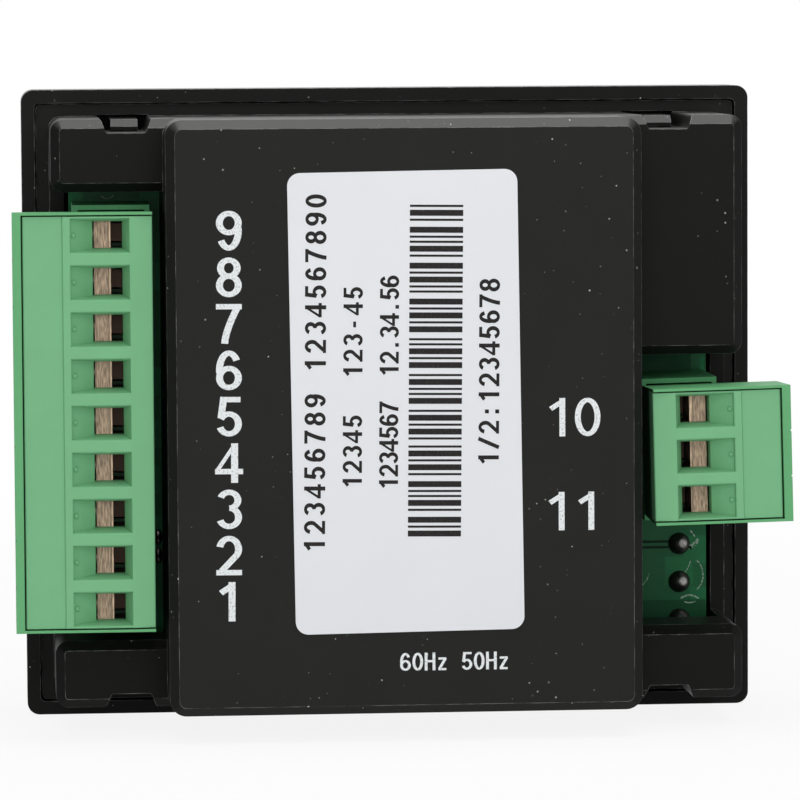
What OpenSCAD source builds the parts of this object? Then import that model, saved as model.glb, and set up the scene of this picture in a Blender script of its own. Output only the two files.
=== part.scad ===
// Genset controller for a panel cut-out: front bezel, stepped rear case and two
// pluggable terminal blocks, with a selector knob and lamps on the front.
// Millimetres, +Z up. The front faces -Y and the origin is the centre of the
// bezel's rear rim, which seats on the panel.

/* [Bezel] */
// Overall width of the bezel
bezel_w = 82.6; // [76:0.1:96]
// Overall height of the bezel
bezel_h = 70.9; // [65:0.1:86]
// Depth of the bezel from its rear rim to its face
bezel_depth = 9; // [8.5:0.1:12]
// Thickness of the bezel's skirt, seen from behind as the rear rim
bezel_wall = 1.5; // [1:0.1:1.8]
// Thickness of the bezel's front plate
face_t = 2; // [1.6:0.1:2.4]
// Corner radius of the bezel's outline
bezel_corner_r = 1.4; // [1.3:0.1:4]
// Corner radius inside the bezel's skirt
rim_corner_r = 0.6; // [0.3:0.1:2]
// Rounding of the bezel's front edge
bezel_edge_r = 1.2; // [0.5:0.1:1.25]
// Thickness of the ribs that carry the rear case's flange
rib_t = 1.2; // [0.8:0.1:2]
// Radius of the posts that carry the circuit board
post_r = 2.6; // [2.2:0.1:3]

/* [Rear case] */
// Distance of the case's sides from the bezel's sides
case_in_x = 3.1; // [2.6:0.1:3.4]
// Distance of the case's top and bottom from the bezel's
case_in_z = 3; // [2.6:0.1:3.3]
// Wall thickness of the rear case
case_wall = 1.6; // [1.2:0.1:2]
// Height of the wings' faces above the rear rim
wing_y = 17.5; // [15:0.1:20]
// Gap between the raised middle and the plugs
hump_gap = 1.45; // [1.2:0.05:2.4]
// Height of the raised middle's face above the rear rim
hump_y = 26.4; // [24:0.1:34]
// Corner radius of the wings' outline
case_corner_r = 1.4; // [1.3:0.1:3]
// Corner radius of the raised middle's outline
hump_corner_r = 1.8; // [1.3:0.1:3]
// Bevel of the case's rear edges
case_bevel = 1; // [0.5:0.1:1.2]
// Thickness of the case's flange
flange_t = 1.5; // [1:0.1:2]
// Depth of the flange below the bezel's rear rim
flange_drop = 1; // [0.5:0.1:1.5]
// Height above the rear rim of the low wall left in the terminal cut-outs
sill_y = 2.4; // [1.5:0.1:4]
// Depth of the cut-outs' end walls below the wings' faces
lip_depth = 8; // [4:0.5:11]

/* [Latches] */
// Distance of each latch from the case's side
latch_in = 8.3; // [7.4:0.1:8.7]
// Width of a latch notch at its mouth
notch_mouth_w = 5.8; // [5.2:0.1:6.4]
// Width of a latch notch at its floor
notch_floor_w = 4.1; // [3.8:0.1:4.6]
// Depth of a latch notch
notch_depth = 1.55; // [1.5:0.05:1.8]
// Thickness of the wall behind a notch
notch_back = 1.4; // [1:0.1:1.6]
// Width of a latch arm
latch_w = 3; // [2.4:0.1:3.4]
// Thickness of a latch arm
latch_t = 1.2; // [1:0.05:1.3]
// Height of a latch arm's end above the rear rim
latch_y = 8.5; // [6:0.5:12]
// Bevel of a latch arm's outer end edge
latch_bevel = 0.8; // [0.4:0.1:0.9]
// Height of the hook at a latch arm's end
hook_h = 1.5; // [1:0.1:2]
// Reach of the hook into the wall behind the notch
hook_reach = 0.9; // [0.5:0.1:1.2]

/* [Circuit board] */
// Height of the board's rear face above the rear rim
board_y = 2.6; // [2:0.1:3]
// Thickness of the board
board_t = 1.6; // [1:0.1:2]
// Radius of a board screw's shank
board_screw_r = 1.3; // [1:0.05:1.5]
// Radius of a board screw's head
board_screw_head_r = 2.2; // [1.9:0.1:2.8]
// Length of a board screw's shank below the board
board_screw_l = 5; // [3:0.5:6]

/* [Terminal blocks] */
// Distance between the main block's terminals
main_pitch = 5.08; // [5:0.01:5.12]
// Distance between the generator block's terminals
gen_pitch = 5; // [5:0.01:5.12]
// Turn of the generator block, as soldered on by hand
gen_turn = 1.3; // [-1.5:0.1:1.5]
// Number of ways of the main block
main_ways = 9; // [4:1:9]
// Number of ways of the generator block
gen_ways = 3; // [2:1:4]
// Height of the main block's middle
main_z = -0.3; // [-1:0.1:1]
// Height of the generator block's middle above the case's lower edge
gen_up = 27.7; // [26.4:0.05:29.4]
// Width of a header
header_w = 8.45; // [8.2:0.05:8.6]
// Height of a header above the board
header_h = 12; // [11.5:0.1:12.5]
// Wall thickness of a header
header_wall = 0.55; // [0.5:0.05:0.8]
// Floor thickness of a header
header_floor = 3; // [2:0.1:3.6]
// Length of a header beyond its outer terminals' pitch, at each end
header_end = 0.4; // [0.35:0.05:0.8]
// Side of a header pin's square section
pin_w = 1; // [0.8:0.05:1]
// Height of a header pin's tip above the board
pin_h = 10; // [8:0.5:10.5]
// Room between a plug and the cut-out's ends
slot_gap = 1.9; // [1.2:0.1:2.2]
// Extra room above the generator plug
gen_slot_above = 1.3; // [0:0.1:3]
// Extra room below the generator plug, where the board shows
gen_slot_below = 10.1; // [6:0.1:10.4]

/* [Plugs] */
// Height of the plugs' wire faces above the rear rim
plug_y = 25; // [24.6:0.1:26]
// Width of a plug across its screw side
plug_w = 15.15; // [14.8:0.05:17]
// Length of a plug from its wire face to its nose
plug_l = 18.2; // [17.8:0.1:18.6]
// Length of a plug beyond its outer terminals' pitch, at each end
plug_end = 0; // [0:0.05:0.3]
// Narrowing of a plug from its wire face to its shoulder, at each end
plug_draft = 0.3; // [0:0.05:0.3]
// Width of the grooves between the ways on a plug's screw side
groove_w = 0.2; // [0.1:0.05:0.5]
// Depth of the grooves between the ways on a plug's screw side
groove_d = 0.1; // [0.05:0.05:0.3]
// Width of the wire cover
cover_w = 14.2; // [13.8:0.05:14.3]
// Thickness of the wire cover
cover_t = 3.8; // [3.4:0.1:4]
// Thickness of the plug's end walls beside the cover
cover_end_wall = 0.3; // [0.25:0.05:0.5]
// Drop of the cover's screw side below its wire side
cover_step = 0.25; // [0.1:0.05:0.5]
// Drop of the cover's inner edge
cover_slope = 0.5; // [0.2:0.1:1]
// Length of a wire window across the plug
window_w = 6.3; // [6.2:0.1:6.8]
// Height of a wire window along the row
window_h = 3.7; // [3.2:0.1:3.8]
// Distance of a wire window from the plug's inner face
window_in = 2.55; // [2.2:0.05:2.6]
// Depth of a window's guide slope at its shallow end
guide_y = 0.7; // [0.4:0.1:1]
// Depth of a window's guide slope at the wire hole
guide_low = 2.3; // [1.8:0.1:2.8]
// Easing of the cover's edges
ease = 0.1; // [0.05:0.05:0.25]
// Length of the wire hole across the plug
hole_w = 3.25; // [3:0.05:3.4]
// Height of the wire hole along the row
hole_h = 2.95; // [2.6:0.05:3.1]
// Distance of the wire hole from the plug's inner face
hole_in = 3.2; // [3.05:0.05:3.4]
// Diameter of the moulding nub in a window
nub_d = 0.6; // [0.4:0.1:0.8]

/* [Clamps] */
// Width of a clamp cage along the row
cage_w = 3.6; // [3.3:0.05:3.65]
// Wall thickness of a clamp cage
cage_t = 0.9; // [0.6:0.05:1]
// Thickness of a clamp cage's sides along the row
cage_side_t = 0.25; // [0.2:0.05:0.3]
// Thickness of a clamp cage's threaded side
cage_thread_t = 1.8; // [1.6:0.1:2]
// Length of a clamp cage along its screw
cage_l = 4.1; // [3.9:0.1:4.4]
// Height of a clamp cage along the wire
cage_h = 5.4; // [5:0.1:5.6]
// Radius of a terminal screw's thread
screw_r = 1.5; // [1.25:0.05:1.5]
// Radius of a terminal screw's head
screw_head_r = 1.9; // [1.7:0.05:2]
// Height of a terminal screw's head
screw_head_h = 2.2; // [1.6:0.1:2.6]
// Depth of a terminal screw's head below the plug's screw side
screw_head_in = 2.85; // [2.4:0.05:3.2]
// Distance of a terminal screw's tip from the plug's inner face
screw_tip_in = 4.6; // [4.5:0.05:5]
// Thickness of a spring contact's strip
contact_t = 0.4; // [0.3:0.05:0.5]
// Width of a spring contact's strip
contact_w = 2; // [1.6:0.1:2.2]

/* [Front controls] */
// Distance of the selector from the board's side
selector_in_x = 12.1; // [11.8:0.1:12.4]
// Distance of the selector from the board's lower edge
selector_in_z = 8.25; // [8.1:0.05:9]
// Side of the selector switch's body
switch_w = 16; // [14:0.1:16.2]
// Thickness of the selector switch's body
switch_t = 6.5; // [6:0.1:6.6]
// Pitch of the selector switch's terminals
switch_pitch = 4.35; // [4:0.05:4.6]
// Reach of the selector switch's terminals beyond its body
switch_reach = 1; // [0.8:0.1:1.2]
// Radius of the selector's shaft
shaft_r = 3; // [2.4:0.1:3.2]
// Radius of the selector's threaded bush
bush_r = 4.5; // [4.2:0.1:5]
// Radius of the bush's shoulder
shoulder_r = 6; // [5.4:0.1:6.6]
// Width of the selector's nut across its flats
nut_w = 11; // [10.6:0.1:12]
// Thickness of the selector's nut
nut_t = 2; // [1.6:0.1:2.2]
// Thickness of the selector's washer
washer_t = 0.5; // [0.4:0.1:0.8]
// Radius of the knob's skirt
knob_r = 10; // [9:0.1:11]
// Height of the knob's skirt
knob_skirt_h = 4; // [3.8:0.1:5]
// Height of the knob's grip above its skirt
grip_h = 8; // [6:0.5:10]
// Thickness of the knob's grip
grip_t = 6.5; // [5:0.1:8]
// Thickness of the knob's wall round its shaft and nut
knob_wall = 1.4; // [1:0.1:1.6]
// Turn of the knob at rest from upright, towards its off mark
knob_rest = 45; // [30:5:60]
// Thickness of the fascia overlay
overlay_t = 0.4; // [0.2:0.05:0.5]
// Width of the bezel's border round the overlay
overlay_border = 2.9; // [2.4:0.1:4]
// Corner radius of the overlay
overlay_r = 2; // [1:0.1:4]
// Radius of a lamp's lens
lamp_r = 1.5; // [1.2:0.1:2]
// Length of a lamp's lens from its flange
lamp_l = 4.2; // [3.6:0.1:4.6]
// Distance of the upper row of lamps from the board's upper edge
lamp_in_z = 9.25; // [8.8:0.05:10]
// Distance between the two rows of lamps
lamp_dz = 18; // [17.5:0.1:19]

/* [Inner parts] */
// Width of a relay
relay_w = 19; // [15:0.1:20]
// Length of a relay
relay_l = 15.4; // [12:0.1:15.6]
// Height of a relay
relay_h = 15.2; // [10:0.1:16]
// Width of the processor's body
chip_w = 6.6; // [5:0.1:8]
// Number of the processor's legs on each side
chip_legs = 8; // [4:1:8]
// Radius of the supply capacitor
capacitor_r = 5; // [3:0.1:5.5]
// Height of the supply capacitor
capacitor_h = 16; // [10:0.5:18]
// Radius of the surge varistor
varistor_r = 4.5; // [3:0.1:5]
// Thickness of the surge varistor
varistor_t = 3.6; // [2:0.1:4]
// Radius of a sensing resistor
resistor_r = 1.2; // [0.8:0.05:1.4]
// Length of a sensing resistor's body
resistor_l = 6.5; // [5:0.1:7]
// Pitch of the frequency link's pins
link_pitch = 2.54; // [2.5:0.01:2.54]

/* [Label] */
// Width of the rating label
label_w = 25; // [20:0.1:30]
// Height of the rating label
label_h = 50.2; // [40:0.1:54]
// Thickness of the rating label
label_t = 0.15; // [0.1:0.01:0.3]
// Corner radius of the rating label
label_r = 1.4; // [0.5:0.1:3]
// Distance of the label's middle above the case's middle
label_z = 1.7; // [-2:0.1:3]
// Turn of the label, as stuck on by hand
label_turn = -0.7; // [-2:0.1:2]

/* [Clearances] */
// Gap between the flange and the bezel's skirt
fit_gap = 0.15; // [0.1:0.05:0.3]
// Gap between the board and the rear case
board_gap = 0.5; // [0.3:0.05:0.6]
// Gap between a plug and its header
slide_gap = 0.25; // [0.2:0.05:0.3]
// Gap round a small metal piece in its plastic pocket
pocket_gap = 0.15; // [0.1:0.05:0.2]
// Gap round a lead, a pin or a thread in its hole
lead_gap = 0.05; // [0.03:0.01:0.1]
// Gap between the shaft and its bush
shaft_gap = 0.1; // [0.05:0.01:0.2]
// Gap between the knob and the fixed front parts
knob_gap = 0.6; // [0.4:0.1:1]

/* [Hidden] */
// Overcut that carries a cut clear of a face
over = 1;
round_fn = 48;

// Case, from the bezel
case_w = bezel_w - 2 * case_in_x;
case_h = bezel_h - 2 * case_in_z;
latch_x = case_w / 2 - latch_in;

// Bezel and flange levels
plate_back = face_t - bezel_depth;
rim_in_w = bezel_w - 2 * bezel_wall;
rim_in_h = bezel_h - 2 * bezel_wall;
flange_w = rim_in_w - 2 * fit_gap;
flange_h = rim_in_h - 2 * fit_gap;
flange_top = -flange_drop;
flange_low = flange_top - flange_t;
rib_reach = rim_in_w / 2 - case_w / 2 + case_wall;

// Half lengths of the terminal rows
main_half = main_ways * main_pitch / 2;
gen_half = gen_ways * gen_pitch / 2;

// Board
board_w = case_w - 2 * case_wall - 2 * board_gap;
board_h = case_h - 2 * (notch_depth + notch_back + board_gap / 2);
board_front = board_y - board_t;
board_screw_edge = 1;
board_screw_z = board_h / 2 - board_screw_head_r - board_screw_edge;
board_screw_places = [[1, 1], [-1, 1], [1, -1]];

// Terminal block places across the case
header_edge = 0.3;
pin_tail = 1.2;
block_x = board_w / 2 - header_edge - header_w / 2;
plug_in = block_x - header_w / 2;
gen_z = gen_up - case_h / 2;
header_top = board_y + header_h;
shoulder_y = header_top + slide_gap;
nose_y = plug_y - plug_l;
cover_y = plug_y - cover_t;
cage_top = cover_y - pocket_gap;
cage_low = cage_top - cage_h;
cage_in = plug_in + hole_in - cage_t - pocket_gap;
screw_y = (cage_top + cage_low) / 2;
head_top = plug_in + plug_w - screw_head_in;
head_seat = head_top - screw_head_h;
window_out = window_in + window_w;
hole_out = hole_in + hole_w;
frame_w = 0.85;
step_in = window_out + frame_w;

// Raised middle, between the plugs
hump_w = 2 * (plug_in - hump_gap);
hump_room = hump_w / 2 - case_wall;
board_screw_x = hump_room - board_screw_head_r - fit_gap;

// Cut-out ends
main_slot = [main_z - main_half - slot_gap, main_z + main_half + slot_gap];
gen_slot = [
  gen_z - gen_half - slot_gap - gen_slot_below,
  gen_z + gen_half + slot_gap + gen_slot_above
];
wings = [
  [1, main_slot[1], case_h / 2],
  [1, -case_h / 2, main_slot[0]],
  [-1, gen_slot[1], case_h / 2],
  [-1, -case_h / 2, gen_slot[0]]
];
lip_y = wing_y - lip_depth;

// Selector place
selector_x = board_w / 2 - selector_in_x;
selector_z = board_h / 2 - selector_in_z;

// Front levels, counted forwards from the rear rim
overlay_sink = 0.1;
overlay_recess = overlay_t + overlay_sink;
overlay_back = bezel_depth - overlay_recess;
overlay_front = overlay_back + overlay_t;
overlay_w = bezel_w - 2 * overlay_border - 2 * fit_gap;
overlay_h = bezel_h - 2 * overlay_border - 2 * fit_gap;
washer_front = overlay_front + washer_t;
nut_front = washer_front + nut_t;
bush_proud = 0.6;
bush_front = nut_front + bush_proud;
switch_front = switch_t - board_front;
knob_back = overlay_front + knob_gap;
skirt_front = knob_back + knob_skirt_h;
knob_front = skirt_front + grip_h;
nut_room = nut_w / sqrt(3) + knob_gap;
shaft_front = knob_front - knob_wall;
switch_floor = 2;
shaft_back = switch_floor - board_front;
flat_cut = shaft_r / 2;
pointer_w = 1.4;
pointer_t = 0.5;
grip_draft = 0.3;
switch_corner_r = 1;
terminal_w = 0.8;
terminal_x = switch_w / 2 + switch_reach;
terminal_tail = 0.7;
terminal_dome_r = 1.25;

// Lamps: two rows of three
lamp_side = 2.3;
lamp_dx = hump_room - lamp_side;
lamp_z = board_h / 2 - lamp_in_z - lamp_dz;
lamps = [for (row = [1, 0], col = [-1, 0, 1]) [col * lamp_dx, lamp_z + row * lamp_dz]];
lamp_colours = ["red", "red", "red", "red", "orange", "limegreen"];
lamp_rim = 0.4;
lamp_flange_r = lamp_r + lamp_rim;
lamp_flange_t = 1;
lamp_top = overlay_back - overlay_sink;
lamp_back = lamp_top - lamp_l - lamp_flange_t;
lamp_lead_w = 0.5;
lamp_lead_dx = 1.27;
lamp_tail = 0.4;
lamp_dome_r = 0.75;
dome_share = 0.85;
holder_r = 2.6;
holder_bar = 2.4;

// Inner part places on the rear of the board
part_gap = 1;
relay_x = relay_w / 2 + part_gap;
relay_z = lamp_z + lamp_dz / 2;
relay_low = relay_z - relay_l / 2;
relay_bevel = 1;
chip_pitch = 2.54;
chip_half_l = chip_legs * chip_pitch / 2;
chip_z = relay_low - part_gap - chip_half_l;
chip_stand = 0.8;
chip_t = 3.2;
chip_leg_out = 1.2;
chip_leg_t = 0.3;
chip_leg_y = 1.4;
can_side = 4.3;
can_bead = 0.5;
can_bead_y = 2.5;
capacitor_place = [hump_room - can_side - capacitor_r, relay_low - part_gap - capacitor_r];
varistor_place = [
  hump_room - varistor_t / 2 - part_gap / 2,
  varistor_r + 2 * board_screw_head_r + 2 * board_screw_edge - board_h / 2
];
regulator_drop = 5;
regulator_place = [-capacitor_place[0], relay_low - regulator_drop];
link_x = -5;
link_up = 2.2;
link_place = [link_x, link_up - board_h / 2];
resistor_count = 4;
resistor_step = 3 * resistor_r;
resistor_end = 1;
resistor_place = [
  chip_w / 2 + chip_leg_out + part_gap / 2 + resistor_end + resistor_l / 2,
  resistor_count * resistor_step - board_h / 2 - resistor_r - part_gap / 2
];
lead_w = 0.6;
regulator_w = 10;
regulator_low = 3.5;
regulator_top = 12;
regulator_t = 4.4;
tab_top = 18;
tab_t = 1.2;
tab_hole_r = 1.8;
link_pin_h = 5;
link_cap_h = 6;

// Solid helpers

// A box between three pairs of limits
module span(x, y, z)
  translate([x[0], y[0], z[0]])
    cube([x[1] - x[0], y[1] - y[0], z[1] - z[0]]);

// A flat shape in X and Z carried along Y
module along_y(y0, y1)
  translate([0, y1, 0])
    rotate([90, 0, 0])
      linear_extrude(y1 - y0)
        children();

// A flat shape in Y and Z carried along X
module along_x(x0, x1)
  translate([x0, 0, 0])
    rotate([90, 0, 90])
      linear_extrude(x1 - x0)
        children();

// A flat shape in X and Y carried along Z
module along_z(z0, z1)
  translate([0, 0, z0])
    linear_extrude(z1 - z0)
      children();

// A profile of radius and forward distance turned about an axis that points to the front
module turned(x, z)
  translate([x, 0, z])
    rotate([90, 0, 0])
      rotate_extrude($fn = round_fn)
        children();

// A round bar along Y
module rod_y(x, z, r, y0, y1)
  translate([x, y0, z])
    rotate([-90, 0, 0])
      cylinder(r = r, h = y1 - y0, $fn = round_fn);

// A round bar along X
module rod_x(y, z, r, x0, x1)
  translate([x0, y, z])
    rotate([0, 90, 0])
      cylinder(r = r, h = x1 - x0, $fn = round_fn);

module round_rect(w, h, r) {
  square([w - 2 * r, h], center = true);
  square([w, h - 2 * r], center = true);
  for (x = [-1, 1], y = [-1, 1])
    translate([x * (w / 2 - r), y * (h / 2 - r)])
      circle(r = r, $fn = round_fn);
}

// A profile with two rounded top corners
module domed(w, y0, y1, r) {
  translate([-w / 2, y0])
    square([w, y1 - r - y0]);
  translate([-w / 2 + r, y0])
    square([w - 2 * r, y1 - y0]);
  for (x = [-1, 1])
    translate([x * (w / 2 - r), y1 - r])
      circle(r = r, $fn = round_fn);
}

// A moulded block with rounded upright corners and a rounded rear edge
module moulded_block(w, h, y0, y1, corner_r, edge_r)
  intersection() {
    along_y(y0, y1)
      round_rect(w, h, corner_r);
    along_z(-h / 2, h / 2)
      domed(w, y0, y1, edge_r);
    along_x(-w / 2, w / 2)
      rotate(-90)
        domed(h, y0, y1, edge_r);
  }

// A profile with two bevelled top corners
module bevelled(w, y0, y1, bevel)
  polygon([
    [-w / 2, y0],
    [w / 2, y0],
    [w / 2, y1 - bevel],
    [w / 2 - bevel, y1],
    [bevel - w / 2, y1],
    [-w / 2, y1 - bevel]
  ]);

// A moulded block with rounded upright corners and a bevelled rear edge
module bevelled_block(w, h, y0, y1, corner_r, bevel) {
  mid_x = w / 2 - corner_r;
  mid_z = h / 2 - corner_r;
  along_z(-mid_z, mid_z)
    bevelled(w, y0, y1, bevel);
  along_x(-mid_x, mid_x)
    rotate(-90)
      bevelled(h, y0, y1, bevel);
  for (x = [-mid_x, mid_x], z = [-mid_z, mid_z]) {
    rod_y(x, z, corner_r, y0, y1 - bevel);
    translate([x, y1 - bevel, z])
      rotate([-90, 0, 0])
        cylinder(r1 = corner_r, r2 = corner_r - bevel, h = bevel, $fn = round_fn);
  }
}

// Puts a block drawn on the +X side at its own side, height and turn
module at_side(side, z)
  translate([side * block_x, 0, z])
    rotate([0, side < 0 ? gen_turn : 0, 0])
      translate([-side * block_x, 0, 0])
        mirror([side < 0 ? 1 : 0, 0, 0])
          children();

function pole_z(ways, pitch, i) = (i - (ways + 1) / 2) * pitch;

// Bezel

module bezel_shell()
  difference() {
    mirror([0, 1, 0])
      moulded_block(bezel_w, bezel_h, 0, bezel_depth, bezel_corner_r, bezel_edge_r);
    along_y(plate_back, over)
      round_rect(rim_in_w, rim_in_h, rim_corner_r);
    along_y(-bezel_depth - over, -overlay_back)
      round_rect(overlay_w + 2 * fit_gap, overlay_h + 2 * fit_gap, overlay_r + fit_gap);
    rod_y(-selector_x, -selector_z, bush_r + fit_gap, -bezel_depth - over, plate_back + over);
    for (p = lamps)
      rod_y(p[0], p[1], lamp_r + fit_gap, -bezel_depth - over, plate_back + over);
  }

// One latch arm with a bevelled end and a sloped hook that points to the middle of the case
module latch_arm() {
  arm_in = case_h / 2 - notch_depth + pocket_gap;
  arm_out = arm_in + latch_t;
  along_x(-latch_w / 2, latch_w / 2)
    polygon([
      [plate_back, arm_in],
      [latch_y - hook_h, arm_in],
      [latch_y - hook_h, arm_in - hook_reach],
      [latch_y - hook_h / 2, arm_in - hook_reach],
      [latch_y, arm_in],
      [latch_y, arm_out - latch_bevel],
      [latch_y - latch_bevel, arm_out],
      [plate_back, arm_out]
    ]);
}

module flange_ribs() {
  rib_x = rim_in_w / 2;
  rib_z = rim_in_h / 2;
  for (side = [-1, 1], z = [-rim_in_h / 4, 0, rim_in_h / 4])
    translate([side * (rib_x - rib_reach / 2), (plate_back + flange_low) / 2, z])
      cube([rib_reach, flange_low - plate_back, rib_t], center = true);
  for (side = [-1, 1], x = [-rim_in_w / 5, 0, rim_in_w / 5])
    translate([x, (plate_back + flange_low) / 2, side * (rib_z - rib_reach / 2)])
      cube([rib_t, flange_low - plate_back, rib_reach], center = true);
}

module front_bezel()
  color("#252624") {
    bezel_shell();
    flange_ribs();
    for (x = [-1, 1], turn = [0, 180])
      rotate([0, turn, 0])
        translate([x * latch_x, 0, 0])
          latch_arm();
    for (p = board_screw_places)
      difference() {
        rod_y(p[0] * board_screw_x, p[1] * board_screw_z, post_r, plate_back, board_front);
        rod_y(
          p[0] * board_screw_x, p[1] * board_screw_z, board_screw_r + lead_gap,
          board_front - board_screw_l - over / 2, board_front + over
        );
      }
  }

module fascia_overlay()
  color("#33383c")
    difference() {
      along_y(-overlay_front, -overlay_back)
        round_rect(overlay_w, overlay_h, overlay_r);
      rod_y(-selector_x, -selector_z, bush_r + fit_gap, -overlay_front - over, -overlay_back + over);
    }

// Rear case

// A notch's flank: a half wave from the mouth at t = 0 to the floor at t = 1
function flank(t) = [
  notch_mouth_w / 2 + (notch_floor_w - notch_mouth_w) / 2 * t,
  case_h / 2 - notch_depth * (1 - cos(180 * t)) / 2
];
flank_steps = [0:1 / 8:1];

module notch_outline()
  polygon(concat(
    [[-notch_mouth_w / 2, case_h / 2 + fit_gap]],
    [for (t = flank_steps) [-flank(t)[0], flank(t)[1]]],
    [for (t = flank_steps) flank(1 - t)],
    [[notch_mouth_w / 2, case_h / 2 + fit_gap]]
  ));

// Outline of the thicker wall behind a notch
module notch_wall_outline() {
  wall_x = notch_mouth_w / 2 + notch_back;
  translate([-wall_x, case_h / 2 - notch_depth - notch_back])
    square([2 * wall_x, notch_depth + notch_back - case_wall / 2]);
}

module at_latches()
  for (x = [-1, 1], turn = [0, 180])
    rotate([0, turn, 0])
      translate([x * latch_x, 0, 0])
        children();

// The four wings, each a block that runs into the raised middle
module wing_blocks() {
  inner_x = hump_w / 2 - case_wall - case_corner_r;
  for (w = wings)
    translate([w[0] * (inner_x + case_w / 2) / 2, 0, (w[1] + w[2]) / 2])
      bevelled_block(
        case_w / 2 - inner_x, w[2] - w[1], flange_low, wing_y, case_corner_r, case_bevel
      );
}

module case_skin() {
  along_y(flange_low, flange_top)
    round_rect(flange_w, flange_h, rim_corner_r);
  along_y(flange_low, sill_y)
    round_rect(case_w, case_h, case_corner_r);
  wing_blocks();
  bevelled_block(hump_w, case_h, flange_low, hump_y, hump_corner_r, case_bevel);
}

module case_hollow() {
  room_x = case_w / 2 - case_wall;
  room_z = case_h / 2 - case_wall;
  hump_x = hump_w / 2;
  low = flange_low - over;
  span([-room_x, room_x], [low, board_y + board_gap], [-room_z, room_z]);
  span([case_wall - hump_x, hump_x - case_wall], [low, hump_y - case_wall], [-room_z, room_z]);
  for (w = wings) {
    z0 = w[1] + case_wall;
    z1 = w[2] - case_wall;
    x_in = w[0] > 0 ? 0 : -room_x;
    x_out = w[0] > 0 ? room_x : 0;
    span([x_in, x_out], [low, wing_y - case_wall], [z0, z1]);
    // The end wall beside a cut-out stops short of the board
    end_z = w[2] > case_h / 2 - over ? [w[1] - over, z0 + over] : [z1 - over, w[2] + over];
    lip_x = w[0] > 0 ? [hump_x, room_x] : [-room_x, -hump_x];
    span(lip_x, [low, lip_y], end_z);
  }
}

module rear_case()
  color("#2c2c2a")
    difference() {
      union() {
        difference() {
          case_skin();
          case_hollow();
        }
        at_latches()
          along_y(flange_low, wing_y - case_wall / 2)
            notch_wall_outline();
      }
      at_latches() {
        along_y(flange_low - over, wing_y + over)
          notch_outline();
        span(
          [-latch_w / 2 - fit_gap, latch_w / 2 + fit_gap],
          [latch_y - hook_h - fit_gap, latch_y + fit_gap],
          [case_h / 2 - notch_depth - notch_back - over, case_h / 2 - notch_depth + over / 2]
        );
      }
    }

module rating_label()
  color("#e1e4e8")
    translate([0, 0, label_z])
      along_y(hump_y, hump_y + label_t)
        rotate(label_turn)
          round_rect(label_w, label_h, label_r);

// Board and its screws

module at_switch_terminals()
  for (side = [-1, 1], i = [-1:1])
    translate([side * terminal_x - selector_x, 0, i * switch_pitch - selector_z])
      children();

module at_lamp_leads()
  for (p = lamps, side = [-1, 1])
    translate([p[0] + side * lamp_lead_dx, 0, p[1]])
      children();

module board_hole(r)
  rod_y(0, 0, r, board_front - over, board_y + over);

module pin_holes(ways, pitch, side, z)
  at_side(side, z)
    for (i = [1:ways])
      translate([block_x, 0, pole_z(ways, pitch, i)])
        board_hole(pin_w / sqrt(2) + lead_gap);

module main_board()
  color("#1c5534")
    difference() {
      span([-board_w / 2, board_w / 2], [board_front, board_y], [-board_h / 2, board_h / 2]);
      for (p = board_screw_places)
        translate([p[0] * board_screw_x, 0, p[1] * board_screw_z])
          board_hole(board_screw_r + fit_gap);
      pin_holes(main_ways, main_pitch, 1, main_z);
      pin_holes(gen_ways, gen_pitch, -1, gen_z);
      at_switch_terminals()
        board_hole(terminal_w / sqrt(2) + lead_gap);
      at_lamp_leads()
        board_hole(lamp_lead_w / sqrt(2) + lead_gap);
    }

module board_screws()
  color("silver")
    for (p = board_screw_places)
      translate([p[0] * board_screw_x, 0, p[1] * board_screw_z])
        difference() {
          union() {
            rod_y(0, 0, board_screw_r, board_front - board_screw_l, board_y);
            rod_y(0, 0, board_screw_head_r, board_y, board_y + board_screw_r);
          }
          rotate([0, 45, 0])
            for (turn = [0, 90])
              rotate([0, turn, 0])
                translate([0, board_y + board_screw_r, 0])
                  cube([2 * board_screw_r, board_screw_r, board_screw_r / 2], center = true);
        }

// A dome of solder over the end of a lead that comes through from the front
module solder_dome(r, lead, tail)
  difference() {
    rise = r * dome_share;
    ball_r = (r * r + rise * rise) / (2 * rise);
    intersection() {
      translate([0, board_y + rise - ball_r, 0])
        sphere(r = ball_r, $fn = round_fn);
      span([-r, r], [board_y, board_y + rise + over], [-r, r]);
    }
    span([-lead / 2, lead / 2], [board_front, board_y + tail], [-lead / 2, lead / 2]);
  }

module solder_joints()
  color("lightgray") {
    at_switch_terminals()
      solder_dome(terminal_dome_r, terminal_w, terminal_tail);
    at_lamp_leads()
      solder_dome(lamp_dome_r, lamp_lead_w, lamp_tail);
  }

// Terminal headers

module header_body(ways, pitch, side, z)
  color("#3f8f5a")
    at_side(side, z) {
      half = ways * pitch / 2 + header_end;
      floor_y = board_y + header_floor;
      difference() {
        span([plug_in, plug_in + header_w], [board_y, header_top], [-half, half]);
        span(
          [plug_in + header_wall, plug_in + header_w - header_wall],
          [floor_y, header_top + over],
          [header_wall - half, half - header_wall]
        );
        for (i = [1:ways]) {
          hole = pin_w / 2 + lead_gap;
          translate([block_x, 0, pole_z(ways, pitch, i)])
            span([-hole, hole], [board_y - over, floor_y + over], [-hole, hole]);
        }
      }
    }

module header_pins(ways, pitch, side, z)
  color("#cfc8b4")
    at_side(side, z)
      for (i = [1:ways])
        translate([block_x, 0, pole_z(ways, pitch, i)])
          span(
            [-pin_w / 2, pin_w / 2], [board_front - pin_tail, board_y + pin_h], [-pin_w / 2, pin_w / 2]
          );

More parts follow.
